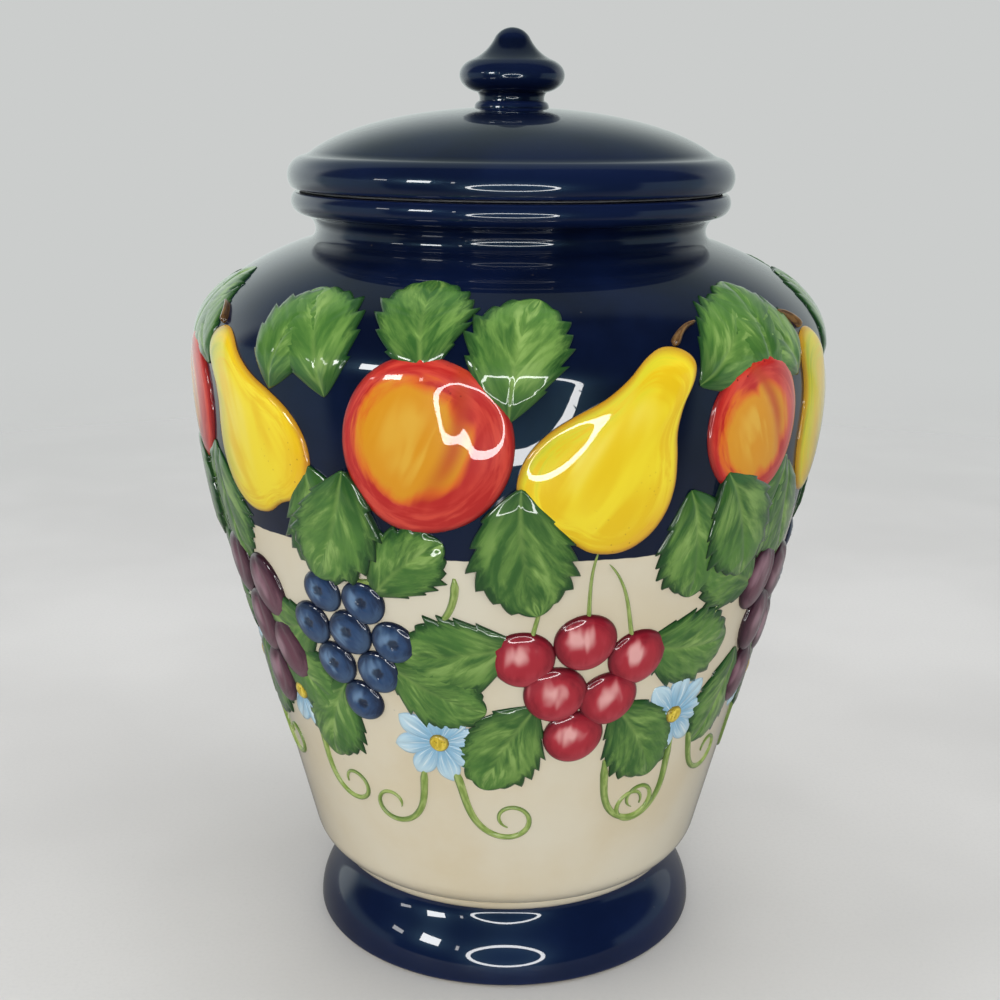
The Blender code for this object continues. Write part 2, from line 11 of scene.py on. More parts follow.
import bpy
import numpy as np
from mathutils import Matrix, Vector


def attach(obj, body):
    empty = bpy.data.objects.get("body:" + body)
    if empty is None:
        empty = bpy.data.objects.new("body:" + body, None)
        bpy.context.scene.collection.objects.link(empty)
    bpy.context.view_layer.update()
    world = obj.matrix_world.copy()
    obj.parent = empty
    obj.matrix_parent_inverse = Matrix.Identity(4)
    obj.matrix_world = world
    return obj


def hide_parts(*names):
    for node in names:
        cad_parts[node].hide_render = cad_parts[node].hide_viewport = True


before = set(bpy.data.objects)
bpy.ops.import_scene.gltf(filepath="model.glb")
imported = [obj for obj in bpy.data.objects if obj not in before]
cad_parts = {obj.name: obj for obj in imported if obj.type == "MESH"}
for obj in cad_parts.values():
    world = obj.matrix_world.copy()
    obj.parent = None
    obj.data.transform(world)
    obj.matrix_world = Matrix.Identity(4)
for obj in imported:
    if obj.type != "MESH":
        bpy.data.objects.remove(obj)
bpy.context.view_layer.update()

MM = 0.001
AROUND = 192
FINIAL_AROUND = 96
MERGED = 0.004
ON_AXIS = 0.001
SHARP_ANGLE = 60.0

# The jar's main sizes, as in the CAD model

FOOT_RADIUS = 66.0
FOOT_EDGE_SPAN = 3.0
FOOT_EDGE_RISE = 2.0
FOOT_RING_INNER_RADIUS = 55.5
FOOT_TOP_RADIUS = 57.2
FOOT_TOP = 23.6
FLARE_LEAN = 4.0
GROOVE_TOP = 28.4
TUCK_ROUND = 13.0
TAPER_ANGLE = 14.2
TAPER_BOTTOM = 36.0
HOLLOW_TAPER_BOTTOM = 42.0
BELLY_RADIUS = 101.5
BELLY_HEIGHT = 203.5
BELLY_ARC_RADIUS = 262.0
SHOULDER_RISE = 40.5
SHOULDER_TOP = 234.8
WALL = 5.0
RECESS_TOP = 5.0
FLOOR_TOP = 12.0
FLOOR_RADIUS = 45.7
FLOOR_CORNER_ROUND = 6.0
COVE_ROUND = 5.0
RIM_ROUND = 4.2
RIM_TOP = 249.398
RIM_INNER_ROUND = 1.0
BORE_RADIUS = 58.0
LID_SEAT = 250.498
LID_EDGE_ROUND = 6.3
LID_TOP = 275.5
LID_HOLLOW_RADIUS = 50.55
LID_HOLLOW_START = 251.898
LID_HOLLOW_RISE = 18.0
FLANGE_RADIUS = 54.25
FINIAL_TOP = 300.0
FINIAL_TIP_ROUND = 6.5
FIN_HEIGHTS = (242.7, 246.7)
PAINT_LINE = 153.0


def linear(red, green, blue):
    """A display colour, 0 to 255, as the light that it stands for."""
    values = []
    for value in (red, green, blue):
        share = value / 255.0
        values.append(share / 12.92 if share <= 0.04045 else ((share + 0.055) / 1.055) ** 2.4)
    return (*values, 1.0)


# Outlines of the turned pieces


def oval(radius, height, span, rise, start, end, steps):
    """Points along an oval about (radius, height), angles in degrees."""
    angles = np.radians(np.linspace(start, end, steps + 1))
    return [(radius + span * math.cos(a), height + rise * math.sin(a)) for a in angles]


def arc(radius, height, size, start, end, steps):
    """Points along a circle's arc about (radius, height)."""
    return oval(radius, height, size, size, start, end, steps)


def bow(first, last, sweep, steps):
    """Points along a shallow curve that swings to the right of its direction by sweep."""
    across = last[0] - first[0]
    up = last[1] - first[1]
    length = math.hypot(across, up)
    points = []
    for step in range(steps + 1):
        part = step / steps
        push = 4.0 * sweep * part * (1.0 - part) / length
        points.append((first[0] + across * part + up * push, first[1] + up * part - across * push))
    return points


def straight(first, last, steps):
    """Points along a straight line."""
    return bow(first, last, 0.0, steps)


def smooth(corners, steps):
    """A curve from the first to the last of its corners, drawn towards those between."""
    top = len(corners) - 1
    points = []
    for step in range(steps + 1):
        t = step / steps
        shares = [math.comb(top, k) * t ** k * (1.0 - t) ** (top - k) for k in range(top + 1)]
        points.append(tuple(sum(s * c[axis] for s, c in zip(shares, corners)) for axis in (0, 1)))
    return points


def joined(*stretches):
    """One outline from several stretches, with repeated neighbours left out."""
    outline = []
    for stretch in stretches:
        for point in stretch:
            if not outline or math.dist(outline[-1], point) > MERGED:
                outline.append(point)
    return outline


def taper_radius(end, height):
    """The radius of the belly's straight part at a height, from its upper end."""
    return end[0] - math.tan(math.radians(TAPER_ANGLE)) * (end[1] - height)


def outside_of_jar():
    """From the standing ring up the foot, belly and shoulder, over the rim and into the bore."""
    span = FOOT_EDGE_SPAN
    edge = oval(FOOT_RADIUS - span, FOOT_EDGE_RISE, span, FOOT_EDGE_RISE, -90.0, 0.0, 10)
    lean = math.radians(FLARE_LEAN)
    high = (FOOT_TOP_RADIUS + 5.8 * math.sin(lean), FOOT_TOP - 5.8 * math.cos(lean))
    corners = (edge[-1], (FOOT_RADIUS, FOOT_EDGE_RISE + 10.8), high, (FOOT_TOP_RADIUS, FOOT_TOP))
    flare = smooth(corners, 24)
    bead = bow(flare[-1], (60.9, 27.6), 0.7, 6)
    groove = [(60.5, 27.9), (60.4, GROOVE_TOP)]
    arc_middle = BELLY_RADIUS - BELLY_ARC_RADIUS
    side = arc(arc_middle, BELLY_HEIGHT, BELLY_ARC_RADIUS, -TAPER_ANGLE, 0.0, 24)
    low_radius = taper_radius(side[0], TAPER_BOTTOM)
    taper = straight((low_radius, TAPER_BOTTOM), side[0], 26)
    tuck_radius = low_radius - TUCK_ROUND * math.cos(math.radians(TAPER_ANGLE))
    tuck_height = TAPER_BOTTOM + TUCK_ROUND * math.sin(math.radians(TAPER_ANGLE))
    tuck = arc(tuck_radius, tuck_height, TUCK_ROUND, -52.0, -TAPER_ANGLE, 12)
    shoulder = oval(0.0, BELLY_HEIGHT, BELLY_RADIUS, SHOULDER_RISE, 0.0, 50.472, 40)
    cove = arc(68.0, 237.538, COVE_ROUND, 180.0, 100.016, 16)
    fillet = bow(shoulder[-1], cove[0], -0.4, 6)
    rim = arc(66.4, 246.598, RIM_ROUND, -79.984, 34.0, 20)
    rim_edge = smooth((rim[-1], (69.53, RIM_TOP), (68.9, RIM_TOP)), 6)
    bore_edge_radius = BORE_RADIUS + RIM_INNER_ROUND
    rim_top = straight(rim_edge[-1], (bore_edge_radius, RIM_TOP), 8)
    bore_edge = arc(bore_edge_radius, RIM_TOP - RIM_INNER_ROUND, RIM_INNER_ROUND, 90.0, 180.0, 6)
    bore = straight(bore_edge[-1], (BORE_RADIUS, 244.0), 4)
    return joined(edge, flare, bead, groove, tuck, taper, side, shoulder, fillet, cove, rim,
                  rim_edge, rim_top, bore_edge, bore)


def inside_of_jar():
    """From the bore down the hollow to the middle of the floor."""
    span = BELLY_RADIUS - WALL
    top = oval(0.0, BELLY_HEIGHT, span, SHOULDER_RISE - WALL, 53.05, 0.0, 30)
    arc_middle = BELLY_RADIUS - BELLY_ARC_RADIUS
    side = arc(arc_middle, BELLY_HEIGHT, BELLY_ARC_RADIUS - WALL, 0.0, -TAPER_ANGLE, 20)
    low = (taper_radius(side[-1], HOLLOW_TAPER_BOTTOM), HOLLOW_TAPER_BOTTOM)
    taper = straight(side[-1], low, 16)
    tuck = bow(low, (51.7, 26.0), -1.6, 10)
    corner_height = FLOOR_TOP + FLOOR_CORNER_ROUND
    corner = arc(FLOOR_RADIUS, corner_height, FLOOR_CORNER_ROUND, 0.0, -90.0, 8)
    floor = straight((FLOOR_RADIUS, FLOOR_TOP), (0.0, FLOOR_TOP), 8)
    return joined([(BORE_RADIUS, 243.9)], top, side, taper, tuck, corner, floor)


def underside_of_jar():
    """The recess under the foot and the ring that it stands on."""
    recess = straight((0.0, RECESS_TOP), (52.0, RECESS_TOP), 6)
    slope = [(52.6, 4.8), (54.5, 0.5), (55.0, 0.12), (FOOT_RING_INNER_RADIUS, 0.0)]
    ring = straight(slope[-1], (FOOT_RADIUS - FOOT_EDGE_SPAN, 0.0), 4)
    return joined(recess, slope, ring)


def lid_stretches():
    """The lid's hollow, its flange and seat, and its upper side."""
    radius = LID_HOLLOW_RADIUS
    hollow = oval(0.0, LID_HOLLOW_START, radius, LID_HOLLOW_RISE, 90.0, 0.0, 30)
    hollow[0] = (0.0, LID_HOLLOW_START + LID_HOLLOW_RISE)
    down = straight((radius, LID_HOLLOW_START), (radius, 237.4), 8)
    foot = [(50.75, 236.9), (51.2, 236.55), (51.5, 236.5), (54.6, 236.5)]
    catch = [(54.9, 236.6), (55.35, 237.0), (55.55, 237.5), (55.55, 239.1), (55.4, 239.3)]
    catch.append((54.4, 239.32))
    up = straight((FLANGE_RADIUS, 239.4), (FLANGE_RADIUS, 250.2), 6)
    seat = [(54.3, 250.4), (54.5, LID_SEAT)] + straight((55.0, LID_SEAT), (69.5, LID_SEAT), 8)
    edge = arc(65.3, 254.398, LID_EDGE_ROUND, -31.0, 78.0, 34)
    seat += smooth(((69.7, LID_SEAT), (70.248, LID_SEAT), edge[0]), 5)
    dome = oval(0.0, 252.29, 70.005, 23.5, 24.7, 80.96, 46)
    step = bow(edge[-1], dome[0], -0.2, 6)
    top = straight(dome[-1], (0.0, LID_TOP), 4)
    return joined(hollow, down), joined(foot, catch, up), joined(seat, edge, step, dome, top)


def finial_stretches():
    """The finial from its foot on the lid to its tip."""
    disc = oval(9.0, 285.4, 7.75, 5.5, -75.0, 55.0, 34)
    foot = [(0.0, 275.0), (12.6, 275.0), (12.6, 275.38), (11.9, 275.5)]
    flare = bow(foot[-1], (10.4, 277.6), 0.45, 8)
    stem = bow(flare[-1], disc[0], -0.3, 5)
    tip = arc(0.0, FINIAL_TOP - FINIAL_TIP_ROUND, FINIAL_TIP_ROUND, 33.0, 90.0, 14)
    tip[-1] = (0.0, FINIAL_TOP)
    sweep = bow(disc[-1], tip[0], -1.05, 12)
    return (joined(foot, flare, stem, disc, sweep, tip),)


def seal_stretches():
    """The seal: a band with two fins and a thin lip, all round."""
    points = [(54.6, 239.8), (54.8, 239.6), (55.9, 239.6), (56.1, 239.8)]
    for middle in FIN_HEIGHTS:
        fin = [(56.1, 1.0), (57.4, 0.35), (57.6, 0.15)]
        points += [(radius, middle - half) for radius, half in fin]
        points += [(radius, middle + half) for radius, half in reversed(fin)]
    points += [(56.1, 249.5), (56.3, 249.7), (67.75, 249.7), (67.95, 249.78), (68.0, 249.9)]
    points += [(68.0, 250.0), (67.95, 250.12), (67.75, 250.2), (54.8, 250.2), (54.6, 250.0)]
    return (points + points[:1],)


def bends(outline):
    """How sharply an outline turns outward at each point, 0 to 1: glaze runs thin on edges."""
    turns = [0.0] * len(outline)
    for place in range(1, len(outline) - 1):
        before = Vector(outline[place]) - Vector(outline[place - 1])
        after = Vector(outline[place + 1]) - Vector(outline[place])
        turn = math.atan2(before.x * after.y - before.y * after.x, before.dot(after))
        turns[place] = turn / max(0.5 * (before.length + after.length), 0.05)
    return [min(1.0, max(0.0, turn * 2.0)) for turn in turns]


def turned(name, stretches, materials, around):
    """A closed solid turned about Z. Each stretch of its outline has its own material."""
    outline = []
    owner = []
    for index, stretch in enumerate(stretches):
        for point in stretch:
            if outline and math.dist(outline[-1], point) < MERGED:
                owner[-1] = index
                continue
            outline.append(point)
            owner.append(index)
    closed = math.dist(outline[0], outline[-1]) < MERGED
    points = []
    edges = []
    starts = []
    for (radius, height), edge in zip(outline, bends(outline)):
        starts.append(len(points))
        for turn in range(1 if radius < ON_AXIS else around):
            angle = 2.0 * math.pi * turn / around
            spot = (radius * MM * math.cos(angle), radius * MM * math.sin(angle), height * MM)
            points.append(spot)
            edges.append(edge)
    faces = []
    kinds = []
    for place, low in enumerate(starts[:-1]):
        high = starts[0] if closed and place == len(outline) - 2 else starts[place + 1]
        for turn in range(around):
            after = (turn + 1) % around
            corners = [low + turn, low + after, high + after, high + turn]
            if outline[place][0] < ON_AXIS:
                corners[:2] = [low]
            elif outline[place + 1][0] < ON_AXIS:
                corners[2:] = [high]
            faces.append(corners)
            kinds.append(owner[place])
    if closed:
        points = points[:starts[-1]]
        edges = edges[:starts[-1]]
    piece = rounded(name, points, faces, materials, edge=edges)
    piece.data.polygons.foreach_set("material_index", kinds)
    piece.data.set_sharp_from_angle(angle=math.radians(SHARP_ANGLE))
    piece.data.update()
    return piece


def rounded(name, points, faces, materials, **marks):
    """A new smooth mesh. Each mark is an attribute: a number or a vector for every point."""
    mesh = bpy.data.meshes.new(name)
    mesh.from_pydata(points, [], faces)
    for material in materials:
        mesh.materials.append(material)
    for mark, values in marks.items():
        values = np.array(values, np.float32)
        kind, key = ("FLOAT", "value") if values.ndim == 1 else ("FLOAT_VECTOR", "vector")
        mesh.attributes.new(mark, kind, "POINT").data.foreach_set(key, values.ravel())
    mesh.shade_smooth()
    mesh.update()
    return shown(name, mesh)


def shown(name, data):
    """A new object in the scene."""
    piece = bpy.data.objects.new(name, data)
    bpy.context.scene.collection.objects.link(piece)
    return piece


# Materials

COBALT = linear(9, 20, 50)
COBALT_THIN = linear(24, 38, 80)
COBALT_DEEP = linear(5, 12, 34)
COBALT_FOOT = linear(14, 34, 84)
COBALT_SHEEN = (0.4, 0.8, 1.0, 1.0)
CREAM = linear(222, 211, 186)
CREAM_WARM = linear(218, 204, 174)
CREAM_LIGHT = linear(226, 219, 199)
BISQUE = (214, 202, 184)
SKIN_DEPTH = 0.00006
INNER_SKIN_DEPTH = 0.0001
RIDGE_DEPTH = 0.00004


class Wire:
    """A node's output, to reckon with. Each sum, product or texture of it is a new node."""

    def __init__(self, tree, socket):
        self.tree = tree
        self.socket = socket

    def __add__(self, other):
        return self.tree.math("ADD", self, other)

    def __sub__(self, other):
        return self.tree.math("SUBTRACT", self, other)

    def __mul__(self, other):
        return self.tree.math("MULTIPLY", self, other)

    def __truediv__(self, other):
        return self.tree.math("DIVIDE", self, other)

    def __abs__(self):
        return self.tree.math("ABSOLUTE", self)

    def swing(self, size):
        """A value, 0 to 1, as a swing about nothing, size from end to end."""
        return (self - 0.5) * size

    def band(self, low, high, first=0.0, last=1.0):
        """A smooth step from first to last as the value goes from low to high."""
        pairs = (("Value", self), ("From Min", low), ("From Max", high))
        pairs += (("To Min", first), ("To Max", last))
        return self.tree.wire("ShaderNodeMapRange", 0, *pairs, interpolation_type="SMOOTHSTEP")

    def noise(self, scale, detail=2.0, rough=0.5, twist=0.0):
        pairs = (("Vector", self), ("Scale", scale), ("Detail", detail))
        pairs += (("Roughness", rough), ("Distortion", twist))
        return self.tree.wire("ShaderNodeTexNoise", 0, *pairs)

    def parts(self):
        outputs = self.tree.node("ShaderNodeSeparateXYZ", (0, self)).outputs
        return [Wire(self.tree, socket) for socket in outputs]


class Nodes:
    """Short calls for the nodes of one tree."""

    def __init__(self, tree):
        self.nodes = tree.nodes
        self.links = tree.links

    def put(self, socket, value):
        if isinstance(value, Wire):
            self.links.new(value.socket, socket)
        else:
            socket.default_value = value

    def node(self, kind, *values, **settings):
        made = self.nodes.new(kind)
        for name, value in settings.items():
            setattr(made, name, value)
        for socket, value in values:
            self.put(made.inputs[socket], value)
        return made

    def wire(self, kind, output, *values, **settings):
        """One output, by name or number, of a new node."""
        return Wire(self, self.node(kind, *values, **settings).outputs[output])

    def math(self, operation, first, second=0.0):
        pairs = ((0, first), (1, second), (2, 0.0))
        return self.wire("ShaderNodeMath", 0, *pairs, operation=operation)

    def mix(self, share, first, second):
        pairs = ((0, share), (6, first), (7, second))
        return self.wire("ShaderNodeMix", 2, *pairs, data_type="RGBA")

    def vector(self, x, y, z):
        return self.wire("ShaderNodeCombineXYZ", 0, (0, x), (1, y), (2, z))

    def length(self, x, y):
        spot = self.vector(x, y, 0.0)
        return self.wire("ShaderNodeVectorMath", 1, (0, spot), operation="LENGTH")


class Paint(Nodes):
    """One painted or plain material, whose colour is laid on coat by coat."""

    def __init__(self, name, roughness=0.3, coat=1.0, level=0.12):
        self.material = bpy.data.materials.new(name)
        self.material.use_nodes = True
        super().__init__(self.material.node_tree)
        self.surface = self.nodes["Principled BSDF"]
        self.set("Roughness", roughness)
        self.set("Coat Weight", coat)
        self.set("Coat Roughness", 0.015)
        self.set("Coat IOR", 1.5)
        self.set("IOR", 1.5)
        self.set("Specular IOR Level", level)
        self.place = self.wire("ShaderNodeTexCoord", "Object")
        self.color = None

    def set(self, socket, value):
        self.put(self.surface.inputs[socket], value)

    def attribute(self, name, output="Fac"):
        return self.wire("ShaderNodeAttribute", output, attribute_name=name)

    def local(self):
        """A motif's own two coordinates and its seed."""
        return self.attribute("local", "Vector").parts()

    def bump(self, height, depth):
        """Raises the surface by height, 0 to 1, times depth in metres."""
        values = (("Height", height), ("Distance", depth), ("Strength", 1.0))
        return self.wire("ShaderNodeBump", 0, *values)

    def specks(self, scale, size):
        """Small round dots, 1 in a dot and 0 elsewhere."""
        values = (("Vector", self.place), ("Scale", scale), ("Randomness", 1.0))
        cells = self.wire("ShaderNodeTexVoronoi", "Distance", *values)
        return cells.band(size * 0.4, size, 1.0, 0.0)

    def begin(self, share, first, second):
        """The first coat: the second tone over the first, by share."""
        self.color = self.mix(share, linear(*first), linear(*second))

    def lay(self, tone, share):
        """Lays a tone over the colour so far, by share."""
        self.color = self.mix(share, self.color, linear(*tone))

    def done(self, normal, roughness=None):
        self.set("Base Color", self.color)
        self.set("Normal", normal)
        if roughness:
            self.set("Roughness", roughness)
        return self.material

    def brushed(self, strokes):
        """The finished paint, with brush ridges under a clear glaze."""
        ridges = self.place.noise(40.0, 2.0, 0.45) + strokes * 0.5
        return self.done(self.bump(ridges, RIDGE_DEPTH))


class Glaze(Paint):
    """A dipped glaze, with slow clouds in its thickness."""

    def __init__(self, name, **look):
        super().__init__(name, **look)
        self.mottle = self.place.noise(26.0, 4.0, 0.6)

    def cobalt(self):
        """Cobalt: deeper where it lies thick, lighter where it thins over an edge."""
        self.set("Specular Tint", COBALT_SHEEN)
        base = self.mix(self.mottle.band(0.35, 0.68), COBALT_DEEP, COBALT)
        return self.mix(self.attribute("edge") * 0.55, base, COBALT_THIN)

    def cream(self):
        """Cream with faint warm and pale clouds."""
        base = self.mix(self.mottle.band(0.35, 0.65), CREAM_WARM, CREAM)
        cloud = self.place.noise(14.0, 3.0)
        return self.mix(cloud.band(0.45, 0.72, 0.0, 0.7), base, CREAM_LIGHT)

    def fired(self, roughness=0.24, depth=SKIN_DEPTH):
        """The finished glaze: slow waves from dipping, with a very fine orange-peel on them."""
        skin = self.place.noise(38.0, 2.0, 0.45) + self.place.noise(420.0, 1.0) * 0.035
        return self.done(self.bump(skin, depth), self.mottle * 0.12 + roughness)


def jar_glaze():
    """The jar's outside: bare clay at the foot's edge, cobalt foot, cream belly, cobalt top."""
    paint = Glaze("jar_glaze", roughness=0.28, level=0.15)
    height = paint.place.parts()[2]
    nick = paint.place.noise(120.0, 2.0)
    line = height + (paint.place.noise(16.0, 1.0).swing(0.007) + nick.swing(0.0011))
    upper = line.band((PAINT_LINE - 0.12) * MM, (PAINT_LINE + 0.12) * MM)
    low_line = height + nick.swing(0.0008)
    lower = low_line.band((FOOT_TOP - 0.15) * MM, (FOOT_TOP + 0.1) * MM, 1.0, 0.0)
    cobalt = paint.mix(lower * 0.24, paint.cobalt(), COBALT_FOOT)
    paint.color = paint.mix(paint.math("MAXIMUM", upper, lower), paint.cream(), cobalt)
    paint.lay((120, 110, 96), paint.specks(120.0, 0.05) * 0.2)
    paint.lay(BISQUE, low_line.band(0.6 * MM, 1.0 * MM, 1.0, 0.0))
    return paint.fired()


def plain_cobalt():
    """Cobalt glaze of the lid and the finial."""
    paint = Glaze("cobalt_glaze", roughness=0.28, level=0.2)
    paint.color = paint.cobalt()
    paint.lay((70, 84, 120), paint.specks(150.0, 0.05) * 0.18)
    return paint.fired()


def inner_cream():
    """Cream glaze of the jar's hollow, wavier and more speckled than outside."""
    paint = Glaze("inner_glaze")
    paint.color = paint.cream()
    paint.lay((150, 134, 108), paint.specks(190.0, 0.09) * 0.5)
    return paint.fired(0.26, INNER_SKIN_DEPTH)


def bare_clay():
    """Unglazed fired clay: matt, fine grained, a little stained."""
    paint = Paint("bare_clay", roughness=0.85, coat=0.0)
    grain = paint.place.noise(900.0, 3.0, 0.7)
    paint.begin(paint.place.noise(45.0, 4.0, 0.65).band(0.35, 0.7), BISQUE, (190, 172, 148))
    paint.lay((160, 142, 118), grain.band(0.55, 0.75, 0.0, 0.4))
    return paint.done(paint.bump(grain, 0.00008), grain.band(0.2, 0.8, 0.75, 0.95))


def silicone():
    """Clear soft seal with faint clouds and fine dust in its skin."""
    paint = Paint("clear_silicone", roughness=0.4, coat=0.0, level=0.5)
    paint.set("Transmission Weight", 0.8)
    paint.set("IOR", 1.41)
    cloud = paint.place.noise(90.0, 3.0)
    paint.begin(cloud.band(0.3, 0.7), (203, 206, 208), (224, 227, 229))
    skin = paint.bump(paint.place.noise(500.0, 2.0), 0.00003)
    return paint.done(skin, cloud.band(0.3, 0.7, 0.32, 0.5))


# Raised garland: the ground that it lies on, and the forms of its motifs


class Ground:
    """The jar's outside as distance along its outline, for laying flat motifs on it."""

    def __init__(self, outline):
        points = np.array(outline)
        steps = np.linalg.norm(np.diff(points, axis=0), axis=1)
        self.along = np.concatenate(([0.0], np.cumsum(steps)))
        self.radius, self.height = points.T
        slope_r = np.gradient(self.radius, self.along)
        slope_z = np.gradient(self.height, self.along)
        size = np.hypot(slope_r, slope_z)
        self.lines = (self.radius, self.height, slope_z / size, -slope_r / size)

    def lay(self, place, rows):
        """World points, in metres, of rows that start with x, y, lift about a place on the jar.

        A place is (degrees to the right of the front, height, turn in degrees)."""
        degrees, height, turn = place
        cos, sin = math.cos(math.radians(turn)), math.sin(math.radians(turn))
        x, y, lift = rows[:, :3].T
        along = np.interp(height, self.height, self.along) + (x * sin + y * cos)
        radius, level, out_r, out_z = (np.interp(along, self.along, line) for line in self.lines)
        around = math.radians(degrees - 90.0) + (x * cos - y * sin) / radius
        reach = radius + lift * out_r
        level += lift * out_z
        return np.stack((reach * np.cos(around), reach * np.sin(around), level), axis=1) * MM


class Relief:
    """Raised motifs of one kind, gathered into one mesh with what their paint needs."""

    def __init__(self, ground):
        self.ground = ground
        self.points = []
        self.faces = []
        self.marks = []
        self.count = 0

    def add(self, place, seed, rows, faces):
        """Adds a motif: for each point x, y, lift, its paint's two coordinates, and rim."""
        rows = np.array(rows, float)
        self.points.append(self.ground.lay(place, rows))
        self.faces += [tuple(corner + self.count for corner in face) for face in faces]
        self.marks.append(np.insert(rows[:, 3:], 2, seed, axis=1))
        self.count += len(rows)

    def build(self, name, material):
        points = np.concatenate(self.points).tolist()
        marks = np.concatenate(self.marks)
        local, rim = marks[:, :3], marks[:, 3]
        piece = rounded(name, points, self.faces, [material], local=local, rim=rim)
        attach(piece, "jar")


SINK = -0.8
VEIN_DEPTH = 0.16
TROUGH_DEPTH = 0.4
TROUGH_HALF_WIDTH = 0.75
MARGIN_FALL = 0.25
STRAND_SIDES = 10
STRAND_END = 0.35
CURL_STEP = 0.8
HALF_BLADE = (-1.0, -0.985, -0.93, -0.82, -0.66, -0.48, -0.3, -0.13, -0.05)
BLADE_SHARES = HALF_BLADE + (0.0,) + tuple(-share for share in reversed(HALF_BLADE))


def dome(relief, place, outline, middle, rise, seed, base, power=2.6, rings=12, carve=None):
    """A closed low dome over an outline (x, y), its edge and its underside sunk in the jar.

    Its paint has x and y about the middle, over the largest reach; rim is 0 at the edge and 1 in
    the middle."""
    centre = np.array(middle, float)
    arms = np.array(outline, float) - centre
    reach = np.abs(arms).max()
    count = len(arms)
    rows = []
    shares = [math.sin(0.5 * math.pi * ring / rings) for ring in range(rings + 1)]
    for ring, share in enumerate(shares + [1.0, 0.0]):
        sunk = ring > rings
        lift = base + rise * math.sqrt(max(0.0, 1.0 - share ** power))
        for arm in arms if share else arms[:1]:
            x, y = centre + share * arm
            across = (x - centre[0]) / reach
            up = (y - centre[1]) / reach
            extra = carve(across, up) if carve else 0.0
            height = SINK if sunk else lift + extra * (1.0 - share ** 6)
            rows.append((x, y, height, across, up, 0.0 if sunk else 1.0 - share))
    faces = []
    for turn in range(count):
        after = (turn + 1) % count
        faces.append((0, 1 + turn, 1 + after))
        for ring in range(rings):
            low = 1 + ring * count
            high = low + count
            faces.append((low + turn, high + turn, high + after, low + after))
        faces.append((high + turn, len(rows) - 1, high + after))
    relief.add(place, seed, rows, faces)


def blade(relief, place, length, width, seed, base, teeth=7, bite=0.22, bend=0.0, rise=1.3,
          rows=48, peak=0.4, lean=0.45):
    """A closed leaf or petal from its stalk at the origin to its tip, with a sunk midrib.

    Its paint has the shares along and across; rim is 0 at the margin and 1 on the midrib."""
    columns = len(BLADE_SHARES)
    points = []
    x = 0.0
    y = 0.0
    power = math.log(0.5) / math.log(peak)
    for row in range(rows + 1):
        part = row / rows
        angle = bend * (part - 0.5)
        ahead = (math.sin(angle), math.cos(angle))
        aside = (ahead[1], -ahead[0])
        if row:
            x += ahead[0] * length / rows
            y += ahead[1] * length / rows
        inner = min(0.999, max(0.004, part))
        half = 0.5 * width * math.sin(math.pi * inner ** power) ** 0.8
        ends = min(1.0, 6.0 * part + 0.25, 5.0 * (1.0 - part) + 0.05)
        saw = (part * teeth) % 1.0
        rib = max(0.0, 1.0 - abs(saw - 0.5) * 7.0) if teeth else 0.0
        for share in BLADE_SHARES:
            out = abs(share)
            phase = 5.0 * seed + 2.1 * math.floor(part * teeth) + math.copysign(1.3, share)
            tooth = bite * (1.0 + 0.5 * math.sin(phase))
            wide = half * share * (1.0 + tooth * (saw - 0.4) * out ** 5)
            slide = lean * abs(wide)
            vein = VEIN_DEPTH * rib * min(1.0, out * 3.0)
            dip = math.exp(-((wide / TROUGH_HALF_WIDTH) ** 2))
            trough = TROUGH_DEPTH * dip * min(1.0, half / 3.0)
            crown = math.sqrt(max(0.0, 1.0 - out ** 5))
            lift = base + (rise - MARGIN_FALL * out) * crown * ends
            lift -= (trough + vein) * crown * ends
            spot_x = x + aside[0] * wide + ahead[0] * slide
            spot_y = y + aside[1] * wide + ahead[1] * slide
            points.append((spot_x, spot_y, SINK if out == 1.0 else lift, part, share, 1.0 - out))
    faces = []
    for row in range(rows):
        low = row * columns
        high = low + columns
        for column in range(columns - 1):
            faces.append((low + column, low + column + 1, high + column + 1, high + column))
        faces.append((low, high, high + columns - 1, low + columns - 1))
    faces.append(tuple(range(columns - 1, -1, -1)))
    faces.append(tuple(rows * columns + column for column in range(columns)))
    relief.add(place, seed, points, faces)


def strand(relief, place, path, width, height, seed):
    """A half-sunk stem along a path (x, y), thinner at its far end."""
    sides = STRAND_SIDES
    path = [Vector(point) for point in path]
    rows = []
    last = len(path) - 1
    for step, point in enumerate(path):
        part = step / last
        ahead = (path[min(step + 1, last)] - path[max(step - 1, 0)]).normalized()
        aside = Vector((ahead.y, -ahead.x))
        ends = min(1.0, 0.3 + 8.0 * part, 0.3 + 14.0 * (1.0 - part))
        swell = (1.0 - (1.0 - STRAND_END) * part) * ends
        for side in range(sides):
            angle = 2.0 * math.pi * side / sides
            across = math.cos(angle)
            x, y = point + aside * (0.5 * width * swell * across)
            lift = height * (0.25 + 0.35 * swell) * math.sin(angle)
            rows.append((x, y, lift, part * last * 0.1, across, 1.0 - abs(across)))
    faces = [tuple(range(sides)), tuple(last * sides + side for side in range(sides - 1, -1, -1))]
    for low in range(0, last * sides, sides):
        high = low + sides
        for side in range(sides):
            after = (side + 1) % sides
            faces.append((low + side, high + side, high + after, low + after))
    relief.add(place, seed, rows, faces)


def curl(length, first, last, heading):
    """A path whose bend grows evenly from first to last, in turns per 100 mm.

    heading is in degrees to the right of +y."""
    count = int(length / CURL_STEP)
    x = 0.0
    y = 0.0
    angle = math.radians(heading)
    path = [(x, y)]
    for index in range(count):
        bend = first + (last - first) * index / count
        angle += bend * 2.0 * math.pi * CURL_STEP / 100.0
        x += math.sin(angle) * CURL_STEP
        y += math.cos(angle) * CURL_STEP
        path.append((x, y))
    return path


# Outlines of the fruits

